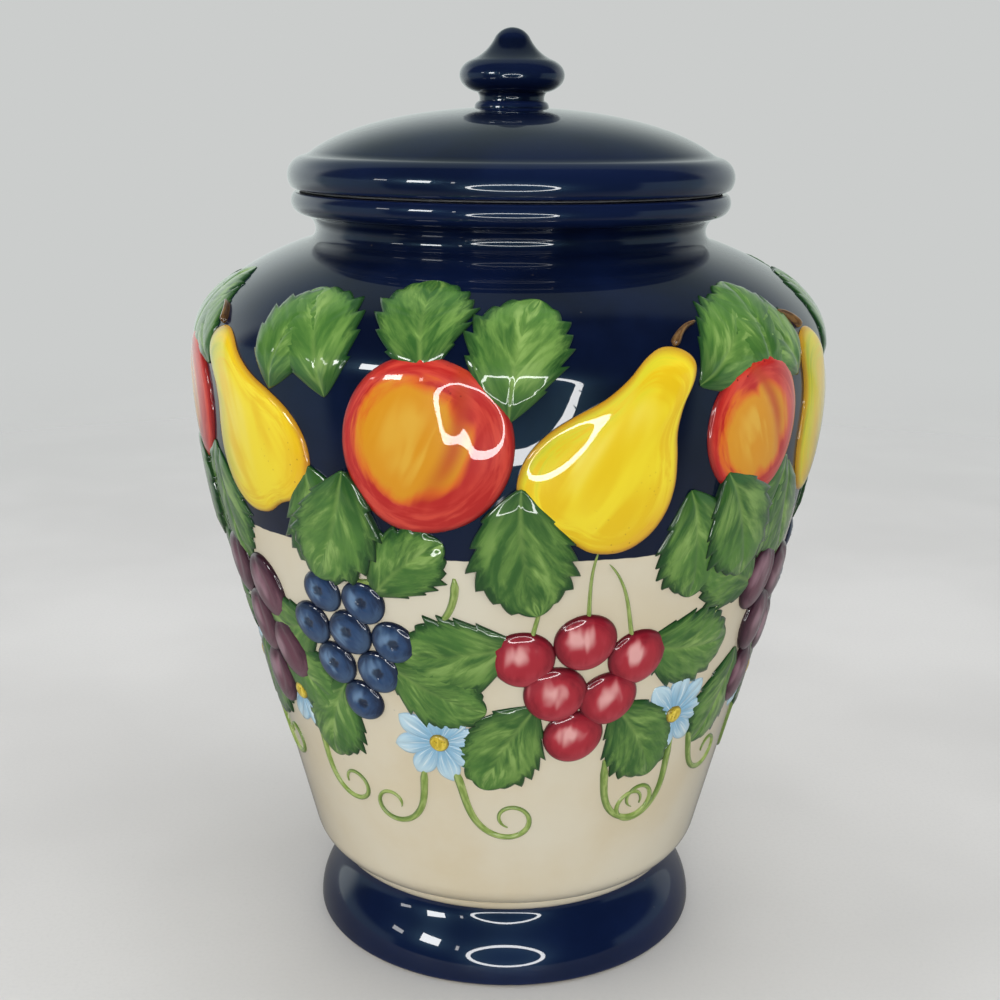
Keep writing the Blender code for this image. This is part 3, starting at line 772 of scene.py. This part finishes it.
PEAR_SIDE = (
    (0.0, 0.5), (0.12, 0.475), (0.18, 0.4), (0.21, 0.28), (0.27, 0.16), (0.37, 0.05),
    (0.46, -0.07), (0.5, -0.2), (0.47, -0.33), (0.36, -0.44), (0.18, -0.495),
)
PEAR_DROP = 0.16
CROWN_X = 0.1
CROWN_Y = 0.12


def ring_of(count, function):
    return [function(2.0 * math.pi * turn / count) for turn in range(count)]


def through(corners, steps):
    """A smooth closed curve through its corners."""
    corners = np.array(corners)
    points = []
    for index in range(len(corners)):
        before, first, last, after = np.roll(corners, 1 - index, axis=0)[:4]
        for step in range(steps):
            t = step / steps
            point = first + 0.5 * t * (last - before)
            point += t * t * (before - 2.5 * first + 2.0 * last - 0.5 * after)
            point += t * t * t * (1.5 * (first - last) + 0.5 * (after - before))
            points.append(tuple(point))
    return points


def pear_outline(width, length, lean):
    """A pear with its stalk end up: round below, drawn in to a neck; lean moves the neck aside."""
    left = tuple((-side, level) for side, level in reversed(PEAR_SIDE[1:]))
    bent = []
    for side, level in PEAR_SIDE + ((0.0, -0.485),) + left:
        bent.append((width * (side + lean * (level + 0.5) ** 2), length * level))
    return through(bent, 4)


def peach_outline(size):
    """A peach: nearly round, with a shallow notch at the stalk and a small point below."""
    def point(angle):
        notch = 1.0 - 0.06 * math.exp(-((math.sin(angle / 2.0) * 4.0) ** 2))
        notch += 0.02 * math.cos(2.0 * angle)
        notch += 0.035 * math.exp(-((math.cos(angle / 2.0) * 5.0) ** 2))
        return (0.5 * size * notch * math.sin(angle), 0.5 * size * notch * math.cos(angle))
    return ring_of(72, point)


def plum_outline(width, length):
    """A plum: an egg shape."""
    def point(angle):
        x = 0.5 * width * math.sin(angle) * (1.0 + 0.06 * math.cos(angle))
        return (x, 0.5 * length * math.cos(angle))
    return ring_of(56, point)


def berry_outline(size):
    """A small round fruit."""
    return plum_outline(size, size)


def fruit_cleft(x, y):
    """The crease of a peach or a plum, a curve from the stalk down one side."""
    middle = 0.3 * math.cos(0.5 * math.pi * y)
    fade = min(1.0, max(0.0, (y + 0.75) * 1.2))
    return -0.45 * math.exp(-(((x - middle) / 0.09) ** 2)) * fade


def berry_crown(x, y):
    """The small crown on a blueberry: a star-shaped pit with a raised edge."""
    reach = math.hypot(x - CROWN_X, y - CROWN_Y)
    angle = math.atan2(y - CROWN_Y, x - CROWN_X)
    star = 0.26 + 0.07 * math.cos(5.0 * angle)
    pit = -0.5 * max(0.0, 1.0 - (reach / star) ** 4)
    return pit + 0.18 * math.exp(-(((reach - star - 0.07) / 0.06) ** 2))


# Paint of the motifs


def leaf_paint():
    """Broad green brush strokes, pale in the middle, deep green at the margins and the root."""
    paint = Paint("leaf_paint")
    along, across, seed = paint.local()
    rim = paint.attribute("rim")
    side = abs(across)
    lane = paint.vector(along * 5.0 - side * 1.7, across * 1.5, seed * 7.3)
    fine = lane.noise(2.6, 3.0, 0.6, 0.5)
    strokes = lane.noise(0.9, 2.0, 0.5, 0.8) * 0.7 + fine * 0.3
    paint.begin(strokes.band(0.36, 0.62), (54, 98, 42), (110, 148, 70))
    paint.lay((84, 130, 56), paint.place.noise(48.0, 2.0).band(0.38, 0.66, 0.0, 0.7))
    paint.lay((146, 178, 98), strokes.band(0.52, 0.68) * side.band(0.2, 0.75, 0.85, 0.1))
    paint.lay((30, 70, 32), (rim + fine.swing(0.5)).band(0.04, 0.34, 0.9, 0.0))
    paint.lay((30, 72, 32), along.band(0.0, 0.3, 0.75, 0.0))
    paint.lay((20, 48, 24), rim.band(0.0, 0.07, 0.7, 0.0))
    paint.lay((138, 170, 88), side.band(0.0, 0.1, 1.0, 0.0) * along.band(0.1, 0.85, 0.45, 0.0))
    return paint.brushed(strokes)


def fruit_strokes(paint, fine):
    """Brush strokes that follow a fruit's outline, and the fruit's own coordinates."""
    x, y, seed = paint.local()
    rim = paint.attribute("rim")
    size = paint.math("MAXIMUM", paint.length(x, y), 0.02)
    turning = paint.vector(x / size, y / size, rim * fine + seed * 5.7).noise(1.2, 3.0, 0.6, 0.4)
    lengthwise = paint.vector(x * 3.4, y * 0.9, seed * 3.3).noise(1.0, 2.0, 0.5, 0.5)
    pairs = ((0, rim.band(0.16, 0.42)), (2, turning), (3, lengthwise))
    return paint.wire("ShaderNodeMix", 0, *pairs), x, y, seed, rim


def pear_paint():
    """Golden yellow, green-yellow up the neck and on one side, orange low on the other."""
    paint = Paint("pear_paint")
    strokes, x, y, _, rim = fruit_strokes(paint, 9.0)
    sway = strokes.swing(0.9)
    green = y * 0.6 - x * 1.25 + sway
    orange = x * 1.1 - y * 0.75 + sway
    paint.begin(strokes.band(0.4, 0.6), (240, 200, 26), (249, 224, 48))
    paint.lay((204, 202, 44), green.band(0.3, 0.7, 0.0, 0.75))
    paint.lay((146, 166, 48), green.band(0.6, 1.05, 0.0, 0.85))
    paint.lay((232, 160, 36), orange.band(0.4, 0.95, 0.0, 0.9))
    paint.lay((186, 118, 34), rim.band(0.0, 0.1, 0.75, 0.0))
    glint = rim.band(0.3, 0.62) * green.band(0.0, 0.5, 0.0, 0.6)
    paint.lay((252, 236, 130), glint * strokes.band(0.45, 0.6))
    paint.lay((160, 84, 26), paint.specks(420.0, 0.16) * orange.band(0.0, 0.7, 0.0, 0.5))
    return paint.brushed(strokes)


def peach_paint():
    """A red rim over an orange and golden middle, with a darker crease."""
    paint = Paint("peach_paint")
    strokes, x, y, _, rim = fruit_strokes(paint, 8.0)
    depth = rim + x * -0.22 + strokes.swing(0.42)
    paint.begin(strokes.band(0.38, 0.62), (188, 38, 34), (214, 72, 56))
    paint.lay((224, 106, 34), depth.band(0.27, 0.38))
    paint.lay((223, 152, 32), depth.band(0.34, 0.48))
    paint.lay((230, 176, 62), depth.band(0.5, 0.8) * strokes.band(0.45, 0.62))
    paint.lay((122, 22, 24), rim.band(0.0, 0.08, 0.75, 0.0))
    middle = paint.math("COSINE", y * 1.5708) * 0.3
    crease = abs(x - middle).band(0.0, 0.16, 0.75, 0.0)
    paint.lay((190, 62, 30), crease * y.band(-0.8, 0.1))
    paint.lay((90, 24, 20), paint.specks(380.0, 0.16) * y.band(0.45, 0.8, 0.0, 0.8))
    return paint.brushed(strokes)


def berry_paint(name, dark, body, light, glint, edge, crown=False):
    """A small round fruit: dark rim, brushed body, a ragged painted light on its upper left."""
    paint = Paint(name)
    strokes, x, y, seed, rim = fruit_strokes(paint, 6.0)
    sway = strokes.swing(0.7)
    paint.begin((rim + sway).band(0.08, 0.5), dark, body)
    paint.lay(light, (y * -0.8 - x * -0.3 + sway).band(0.2, 0.7, 0.0, 0.65))
    dab = paint.vector(x * 2.2, y * 0.9, seed * 6.1).noise(1.1, 1.0, 0.5, 0.4)
    spot = paint.length((x + 0.18) * 0.95, y - 0.22) + dab.swing(1.1)
    paint.lay(light, spot.band(0.2, 0.62, 0.65, 0.0))
    paint.lay(glint, spot.band(0.0, 0.46, 0.95, 0.0))
    paint.lay(edge, rim.band(0.0, 0.12, 0.9, 0.0))
    if crown:
        paint.lay(edge, paint.length(x - CROWN_X, y - CROWN_Y).band(0.16, 0.32, 0.8, 0.0))
    return paint.brushed(strokes)


def petal_paint():
    """Petals of a mid blue at the root, paler towards the tip, with near-white strokes."""
    paint = Paint("petal_paint")
    along, across, seed = paint.local()
    strokes = paint.vector(along * 1.1, across * 3.4, seed * 3.1).noise(1.6, 2.0, 0.5, 0.3)
    reach = along + strokes.swing(0.8)
    paint.begin(reach.band(0.2, 0.8), (138, 184, 212), (190, 218, 230))
    paint.lay((226, 238, 240), strokes.band(0.56, 0.7, 0.0, 0.8))
    paint.lay((112, 158, 196), paint.attribute("rim").band(0.0, 0.2, 0.45, 0.0))
    return paint.brushed(strokes)


def middle_paint():
    """The yellow, dotted middle of a flower."""
    paint = Paint("middle_paint")
    strokes, _, _, _, rim = fruit_strokes(paint, 4.0)
    paint.begin(strokes.band(0.35, 0.65), (196, 168, 40), (236, 212, 84))
    paint.lay((110, 96, 34), rim.band(0.0, 0.3, 0.8, 0.0))
    paint.lay((84, 60, 24), paint.specks(900.0, 0.3) * 0.6)
    return paint.brushed(strokes)


def stem_paint(name, spread, scale, dark, light, lower):
    """Stems or stalks in long strokes, with a darker lower side."""
    paint = Paint(name)
    along, across, seed = paint.local()
    strokes = paint.vector(along, across * spread, seed * 4.1).noise(scale, 2.0, 0.5, 0.2)
    paint.begin(strokes.band(0.35, 0.65), dark, light)
    paint.lay(lower, across.band(0.15, 0.85, 0.0, 0.7))
    return paint.brushed(strokes)


# Layout of the garland: one stretch of it, laid three times round the jar.
# Each row starts with degrees to the right of the stretch's middle, height and heading.

REPEATS = 3
SEEDS = 9.0
LEAF_SPREAD = 0.35
PETALS = 8
PETAL_WIDTH = 8.2
FLOWER_MIDDLE_SIZE = 6.0
# Leaves: length, width, bend
BACK_LEAVES = (
    (-30, 198, -24, 37, 28, -0.4), (-13, 205, -4, 34, 27, 0.3), (0, 194, 12, 38, 28, 0.4),
    (-42, 198, 22, 36, 26, 0.4), (-63, 200, -48, 36, 27, -0.5), (31, 202, 44, 38, 28, -0.5),
    (47, 198, 2, 37, 27, 0.3), (-64, 176, -150, 36, 27, 0.4), (31, 172, 170, 36, 27, 0.4),
    (57, 174, 165, 36, 27, -0.4), (-35, 178, 175, 38, 28, 0.4), (2, 128, -100, 36, 27, 0.5),
    (26, 124, 98, 37, 27, -0.4), (22, 104, 150, 35, 26, 0.5), (6, 106, -155, 35, 26, -0.4),
    (-39, 126, -100, 34, 26, 0.5), (-23, 118, 118, 32, 24, -0.4), (-34, 108, -158, 34, 25, -0.5),
    (-24, 140, 50, 30, 22, 0.5), (56, 112, -160, 34, 25, 0.5), (65, 118, 128, 34, 25, -0.4),
    (54, 136, -60, 32, 24, 0.5),
)
FRONT_LEAVES = (
    (-27, 178, -158, 38, 28, 0.5), (2, 176, 172, 40, 29, -0.4), (38, 176, 158, 38, 28, 0.4),
)
# Fruits: base, and then what their outline takes
PEARS = ((17, 187, 24, 0.5, 45, 62, 0.16), (-49, 189, -26, 0.3, 43, 58, -0.16))
PEACHES = ((-13, 187, 24, 0.2, 50), (45, 188, -24, 0.2, 42))
CHERRIES = (
    (3, 122, 0, 0.2, 19), (14.5, 127, 0, 0.4, 19), (25.5, 120, 0, 0.2, 19),
    (9.5, 110, 0, 0.6, 19), (20.5, 107, 0, 0.6, 18.5), (14, 94.5, 0, 0.4, 18.5),
)
PLUMS = (
    (56, 136, 15, 0.3, 18, 22), (67, 133, -20, 0.3, 18, 22), (61.5, 119, 0, 0.6, 18, 22),
    (70.5, 113, -20, 0.4, 17, 21), (62, 100, 10, 0.4, 17, 21),
)
BLUEBERRIES = (
    (-35.5, 138, 0, 0.2, 14), (-26.5, 137, 0, 0.3, 14.5), (-40, 126, 0, 0.4, 14.5),
    (-30.5, 126, 0, 0.6, 15), (-21.5, 125, 0, 0.3, 14), (-35.5, 114, 0, 0.5, 14.5),
    (-25.5, 114, 0, 0.5, 14.5), (-30.5, 102.5, 0, 0.3, 14),
)
# Flowers: length of a petal
FLOWERS = ((-14, 92, 12, 15), (38, 96, 40, 15), (-50, 98, 20, 14.5))
# Stems: length, first bend, last bend, width
STEMS = (
    (-12, 84, 150, 64, 0.9, -4.4, 3), (-18, 82, -165, 52, -0.7, 4.6, 2.8),
    (22, 84, 165, 60, 0.6, -4.4, 3), (40, 86, -170, 58, -0.8, 4.4, 3),
    (45, 88, 150, 50, 0.8, -4.6, 2.8), (-47, 88, 168, 54, 0.8, -4.6, 2.8),
    (-16, 152, -140, 40, 0.6, 0.9, 2.8), (-9, 148, 175, 34, 0.6, 1.4, 2.8),
    (44, 148, 160, 38, 0.6, 1.2, 2.8),
)
CHERRY_STEMS = (
    (3, 122, 24, 36, -0.5, 0.9, 1.8), (14.5, 127, 6, 30, -0.4, 0.6, 1.8),
    (25.5, 120, -28, 36, 0.5, -0.8, 1.8),
)
STALKS = ((27, 213, 34, 12, 0.4, 2, 3), (-59, 213, -36, 12, -0.4, -2, 3))


def leaf(relief, chance, place, length, width, bend, lift=0.0):
    base = lift + chance.uniform(0.0, LEAF_SPREAD)
    blade(relief, place, length, width, chance.uniform(0.0, SEEDS), base, bend=bend)


def stem(relief, chance, place, length, first, last, width, rise=1.6):
    degrees, height, turn = place
    path = curl(length, first, last, -turn)
    strand(relief, (degrees, height, 0.0), path, width, rise, chance.uniform(0.0, SEEDS))


def fruit(relief, chance, place, base, *shape, outline, rise=2.3, drop=0.0, spin=0.0, **form):
    """Drop lowers the dome's middle by a share of the length. Spin turns the fruit by chance."""
    if spin:
        place = (place[0], place[1], chance.uniform(-spin, spin))
    middle = (0.0, -drop * shape[1] if drop else 0.0)
    seed = chance.uniform(0.0, SEEDS)
    dome(relief, place, outline(*shape), middle, rise, seed, base, **form)


def flower(middles, relief, chance, place, reach):
    """A ring of petals. The flower's middle goes into a mesh of its own."""
    degrees, height, turn = place
    for petal in range(PETALS):
        seed = chance.uniform(0.0, SEEDS)
        petal_place = (degrees, height, petal * 360.0 / PETALS - turn)
        blade(relief, petal_place, reach, PETAL_WIDTH, seed, base=0.1 * (petal % 2), teeth=0,
              bite=0.16, rise=0.9, rows=14, peak=0.62, lean=0.1)
    outline = berry_outline(FLOWER_MIDDLE_SIZE)
    dome(middles, (degrees, height, 0.0), outline, (0.0, 0.0), 1.1, seed, base=0.8, rings=6)


def garland(ground, paints, chance, repeat):
    """One stretch of the garland, with one mesh for each kind of motif."""
    def lay(kind, layout, motif, paint=None, **form):
        relief = Relief(ground)
        for degrees, height, heading, *sizes in layout:
            place = (degrees + repeat * 360.0 / REPEATS, height, -heading)
            motif(relief, chance, place, *sizes, **form)
        relief.build(f"{kind}_{repeat}", paints[paint or kind])

    small = {"outline": berry_outline, "power": 2.2, "rings": 9}
    lay("back_leaves", BACK_LEAVES, leaf, "leaves")
    lay("front_leaves", FRONT_LEAVES, leaf, "leaves", lift=1.3)
    lay("pears", PEARS, fruit, outline=pear_outline, drop=PEAR_DROP)
    lay("stalks", STALKS, stem, rise=3.4)
    lay("peaches", PEACHES, fruit, outline=peach_outline, rise=2.5, carve=fruit_cleft)
    lay("cherries", CHERRIES, fruit, **small)
    lay("plums", PLUMS, fruit, outline=plum_outline, carve=fruit_cleft)
    lay("blueberries", BLUEBERRIES, fruit, rise=2.1, spin=40.0, carve=berry_crown, **small)
    middles = Relief(ground)
    lay("petals", FLOWERS, partial(flower, middles))
    middles.build(f"flower_middles_{repeat}", paints["flower_middles"])
    lay("stems", STEMS, stem)
    lay("cherry_stems", CHERRY_STEMS, stem, "stems")


# The pieces

cobalt = plain_cobalt()
clay = bare_clay()
outside = outside_of_jar()
jar_parts = [underside_of_jar(), outside, inside_of_jar()]
jar = turned("jar", jar_parts, [clay, jar_glaze(), inner_cream()], AROUND)
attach(jar, "jar")
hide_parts("jar_body")

lid = turned("lid_cover", lid_stretches(), [cobalt, clay, cobalt], AROUND)
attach(lid, "lid")
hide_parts("lid")

finial = turned("lid_finial", finial_stretches(), [cobalt], FINIAL_AROUND)
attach(finial, "lid")
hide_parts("finial")

seal = turned("soft_seal", seal_stretches(), [silicone()], AROUND)
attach(seal, "lid_seal")
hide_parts("seal_ring")

ground = Ground([point for point in outside if GROOVE_TOP - 0.1 < point[1] < SHOULDER_TOP])
paints = {
    "leaves": leaf_paint(),
    "pears": pear_paint(),
    "peaches": peach_paint(),
    "cherries": berry_paint(
        "cherry_paint", (134, 22, 38), (172, 38, 52), (190, 66, 78), (232, 172, 168),
        (84, 14, 26)),
    "plums": berry_paint(
        "plum_paint", (66, 34, 48), (104, 62, 76), (122, 84, 96), (158, 122, 134), (44, 22, 32)),
    "blueberries": berry_paint(
        "blueberry_paint", (26, 40, 66), (42, 70, 108), (72, 98, 130), (104, 134, 166),
        (16, 24, 44), crown=True),
    "petals": petal_paint(),
    "flower_middles": middle_paint(),
    "stems": stem_paint("stem_paint", 0.7, 2.0, (126, 152, 70), (164, 182, 106), (82, 112, 48)),
    "stalks": stem_paint("stalk_paint", 0.9, 2.4, (84, 58, 34), (132, 98, 56), (52, 36, 24)),
}
chance = random.Random(7)
for repeat in range(REPEATS):
    garland(ground, paints, chance, repeat)

# Floor and background

FLOOR_SIDES = 96
FLOOR_REACH = 1.4
FLOOR_TONE = (217, 216, 214)
FLOOR_CLOUD_TONE = (206, 205, 203)
FLOOR_GRAIN_TONE = (196, 196, 194)
# Share of painted shade in the floor's colour as the glaze mirrors it
FLOOR_REFLECTION_SHADE = 0.65
FADE_START = 0.3
FADE_END = 1.25
TABLE_CUT = 1.3
BACKGROUND = linear(203, 205, 204)
EVEN_LIGHT = (0.52, 0.53, 0.54, 1.0)
WALL_SPREAD = 0.39
WALL_LOW = (0.62, 0.68, 0.66, 1.0)
WALL_HIGH = (0.17, 0.21, 0.2, 1.0)
WALL_LEFT = 1.28
WALL_RIGHT = 0.74
ROOM_SIDE = (0.24, 0.32, 0.34, 1.0)
ROOM_DARK = (0.014, 0.015, 0.02, 1.0)


def floor_piece():
    """A pale floor that fades into the background away from the jar, sooner in front of it.

    The glaze mirrors it dimmer than it is: a painted shade that darkens its reflected colour
    towards the dark room."""
    points = [(0.0, 0.0, 0.0)]
    for turn in range(FLOOR_SIDES):
        angle = 2.0 * math.pi * turn / FLOOR_SIDES
        points.append((FLOOR_REACH * math.cos(angle), FLOOR_REACH * math.sin(angle), 0.0))
    faces = [(0, 1 + turn, 1 + (turn + 1) % FLOOR_SIDES) for turn in range(FLOOR_SIDES)]
    mesh = bpy.data.meshes.new("floor")
    mesh.from_pydata(points, [], faces)
    paint = Paint("floor_paint", roughness=0.6, coat=0.0, level=0.2)
    cloud = paint.place.noise(5.0, 3.0)
    grain = paint.place.noise(700.0, 2.0)
    paint.begin(cloud.band(0.3, 0.7), FLOOR_TONE, FLOOR_CLOUD_TONE)
    paint.lay(FLOOR_GRAIN_TONE, grain.band(0.4, 0.8, 0.0, 0.15))
    # Painted shade: where the glaze mirrors the floor, its colour is darkened towards the dark
    # room.
    mirrored = paint.wire("ShaderNodeLightPath", "Is Glossy Ray")
    paint.set("Base Color", paint.mix(mirrored * FLOOR_REFLECTION_SHADE, paint.color, ROOM_DARK))
    paint.set("Roughness", grain.band(0.2, 0.8, 0.55, 0.7))
    x, y, _ = paint.place.parts()
    away = paint.length(x, y + paint.math("MINIMUM", y, 0.0) * TABLE_CUT)
    clear = paint.node("ShaderNodeBsdfTransparent")
    blend = paint.node("ShaderNodeMixShader", (0, away.band(FADE_START, FADE_END)))
    paint.links.new(paint.surface.outputs[0], blend.inputs[1])
    paint.links.new(clear.outputs[0], blend.inputs[2])
    out = next(node for node in paint.nodes if node.type == "OUTPUT_MATERIAL")
    paint.links.new(blend.outputs[0], out.inputs["Surface"])
    mesh.materials.append(paint.material)
    floor = shown("floor", mesh)


def room():
    """The surroundings: an even pale light and a pale backdrop.

    Reflections show the pale wall behind the jar, dimmer high up and to the right, the table's
    far sides, and a dark room."""
    world = bpy.data.worlds.new("room")
    bpy.context.scene.world = world
    world.use_nodes = True
    sky = Nodes(world.node_tree)
    ray = sky.node("ShaderNodeLightPath").outputs
    glossy, camera_ray, through_glass = (
        Wire(sky, ray[name]) for name in ("Is Glossy Ray", "Is Camera Ray", "Is Transmission Ray"))
    x, y, z = sky.wire("ShaderNodeTexCoord", "Generated").parts()
    reach = sky.length(x, y) * WALL_SPREAD
    behind = (y - reach).band(-0.08, 0.1)
    beside = (y + reach).band(-0.06, 0.06) * z.band(0.1, 0.22, 1.0, 0.0)
    wall = sky.mix(z.band(0.2, 0.68), WALL_LOW, WALL_HIGH)
    tilt = x.band(-0.9, 0.9, WALL_LEFT, WALL_RIGHT)
    wall = sky.wire("ShaderNodeVectorMath", 0, (0, wall), ("Scale", tilt), operation="SCALE")
    mirrored = sky.mix(behind, sky.mix(beside, ROOM_DARK, ROOM_SIDE), wall)
    color = sky.mix(glossy, EVEN_LIGHT, mirrored)
    seen = sky.math("MAXIMUM", camera_ray, through_glass)
    shade = sky.nodes["Background"]
    sky.put(shade.inputs["Color"], sky.mix(seen, color, BACKGROUND))
    sky.put(shade.inputs["Strength"], 1.0)


def lamp(name, spot, size, power, aim=0.0, mirrored=False):
    """A soft rectangular lamp that the camera doesn't see, turned to the jar's axis at height aim.

    A mirrored one shows in the glaze and lights nothing. The others light and don't show."""
    data = bpy.data.lights.new(name, "AREA")
    data.shape = "RECTANGLE"
    data.size = size[0]
    data.size_y = size[1]
    data.energy = power
    piece = shown(name, data)
    piece.location = spot
    piece.rotation_mode = "QUATERNION"
    piece.rotation_quaternion = (Vector((0.0, 0.0, aim)) - Vector(spot)).to_track_quat("-Z", "Y")
    piece.visible_camera = False
    piece.visible_diffuse = not mirrored
    piece.visible_glossy = mirrored
    return piece


RING_CENTRE = Vector((0.01, -0.54, 0.15))
RING_WIDE = 0.205
RING_HIGH = 0.14
RING_TUBE = 0.028
RING_PARTS = 28
RING_GLOW = 17.0


def ring_lamp():
    """An oval ring lamp about the camera, from short straight parts, seen only in the glaze."""
    ends = []
    for part in range(RING_PARTS + 1):
        angle = 2.0 * math.pi * part / RING_PARTS
        arm = Vector((RING_WIDE * math.cos(angle), 0.0, RING_HIGH * math.sin(angle)))
        ends.append(RING_CENTRE + arm)
    ahead = Vector((0.0, 1.0, 0.0))
    for part, (first, last) in enumerate(zip(ends, ends[1:])):
        spot = 0.5 * (first + last)
        size = ((last - first).length, RING_TUBE)
        power = RING_GLOW * math.pi * size[0] * size[1]
        piece = lamp(f"ring_{part}", spot, size, power, mirrored=True)
        tangent = (last - first).normalized()
        turn = Matrix((tangent, tangent.cross(ahead), -ahead)).transposed()
        piece.rotation_quaternion = turn.to_quaternion()


floor_piece()
room()
ring_lamp()
lamp("window", (-0.85, -0.85, 0.5), (0.26, 0.18), 2.9, aim=0.2, mirrored=True)
lamp("far_window", (-2.2, -0.92, 0.806), (0.32, 0.16), 1.2, aim=0.25, mirrored=True)
lamp("side_window", (-0.56, -1.07, 0.48), (0.04, 0.12), 0.12, aim=0.2, mirrored=True)
lamp("front", (0.0, -1.6, 0.7), (0.9, 0.6), 10.4, aim=0.12)
lamp("top", (0.1, -0.1, 1.15), (0.9, 0.9), 4.2, aim=0.15)
lamp("left", (-1.0, -0.2, 0.6), (0.7, 0.7), 2.5, aim=0.14)
lamp("right", (1.0, 0.0, 0.6), (0.7, 0.7), 1.2, aim=0.14)
lamp("behind", (0.0, 1.1, 0.6), (0.8, 0.6), 2.2, aim=0.14)

# Camera

CAMERA_SPOT = (0.0, -0.490, 0.2753)
CAMERA_LENS = 53.46
CAMERA_YAW = 0.324
CAMERA_PITCH_DOWN = 14.785
CAMERA_ROLL = 0.45

camera_data = bpy.data.cameras.new("camera")
camera_data.sensor_width = 36.0
camera_data.sensor_fit = "HORIZONTAL"
camera_data.lens = CAMERA_LENS
camera = shown("camera", camera_data)
camera.location = CAMERA_SPOT
yaw = Matrix.Rotation(math.radians(CAMERA_YAW), 4, "Z")
pitch = Matrix.Rotation(math.radians(90.0 - CAMERA_PITCH_DOWN), 4, "X")
roll = Matrix.Rotation(math.radians(CAMERA_ROLL), 4, "Z")
camera.matrix_world = Matrix.Translation(camera.location) @ yaw @ pitch @ roll
bpy.context.scene.camera = camera

view = bpy.context.scene.view_settings
view.view_transform = "Standard"
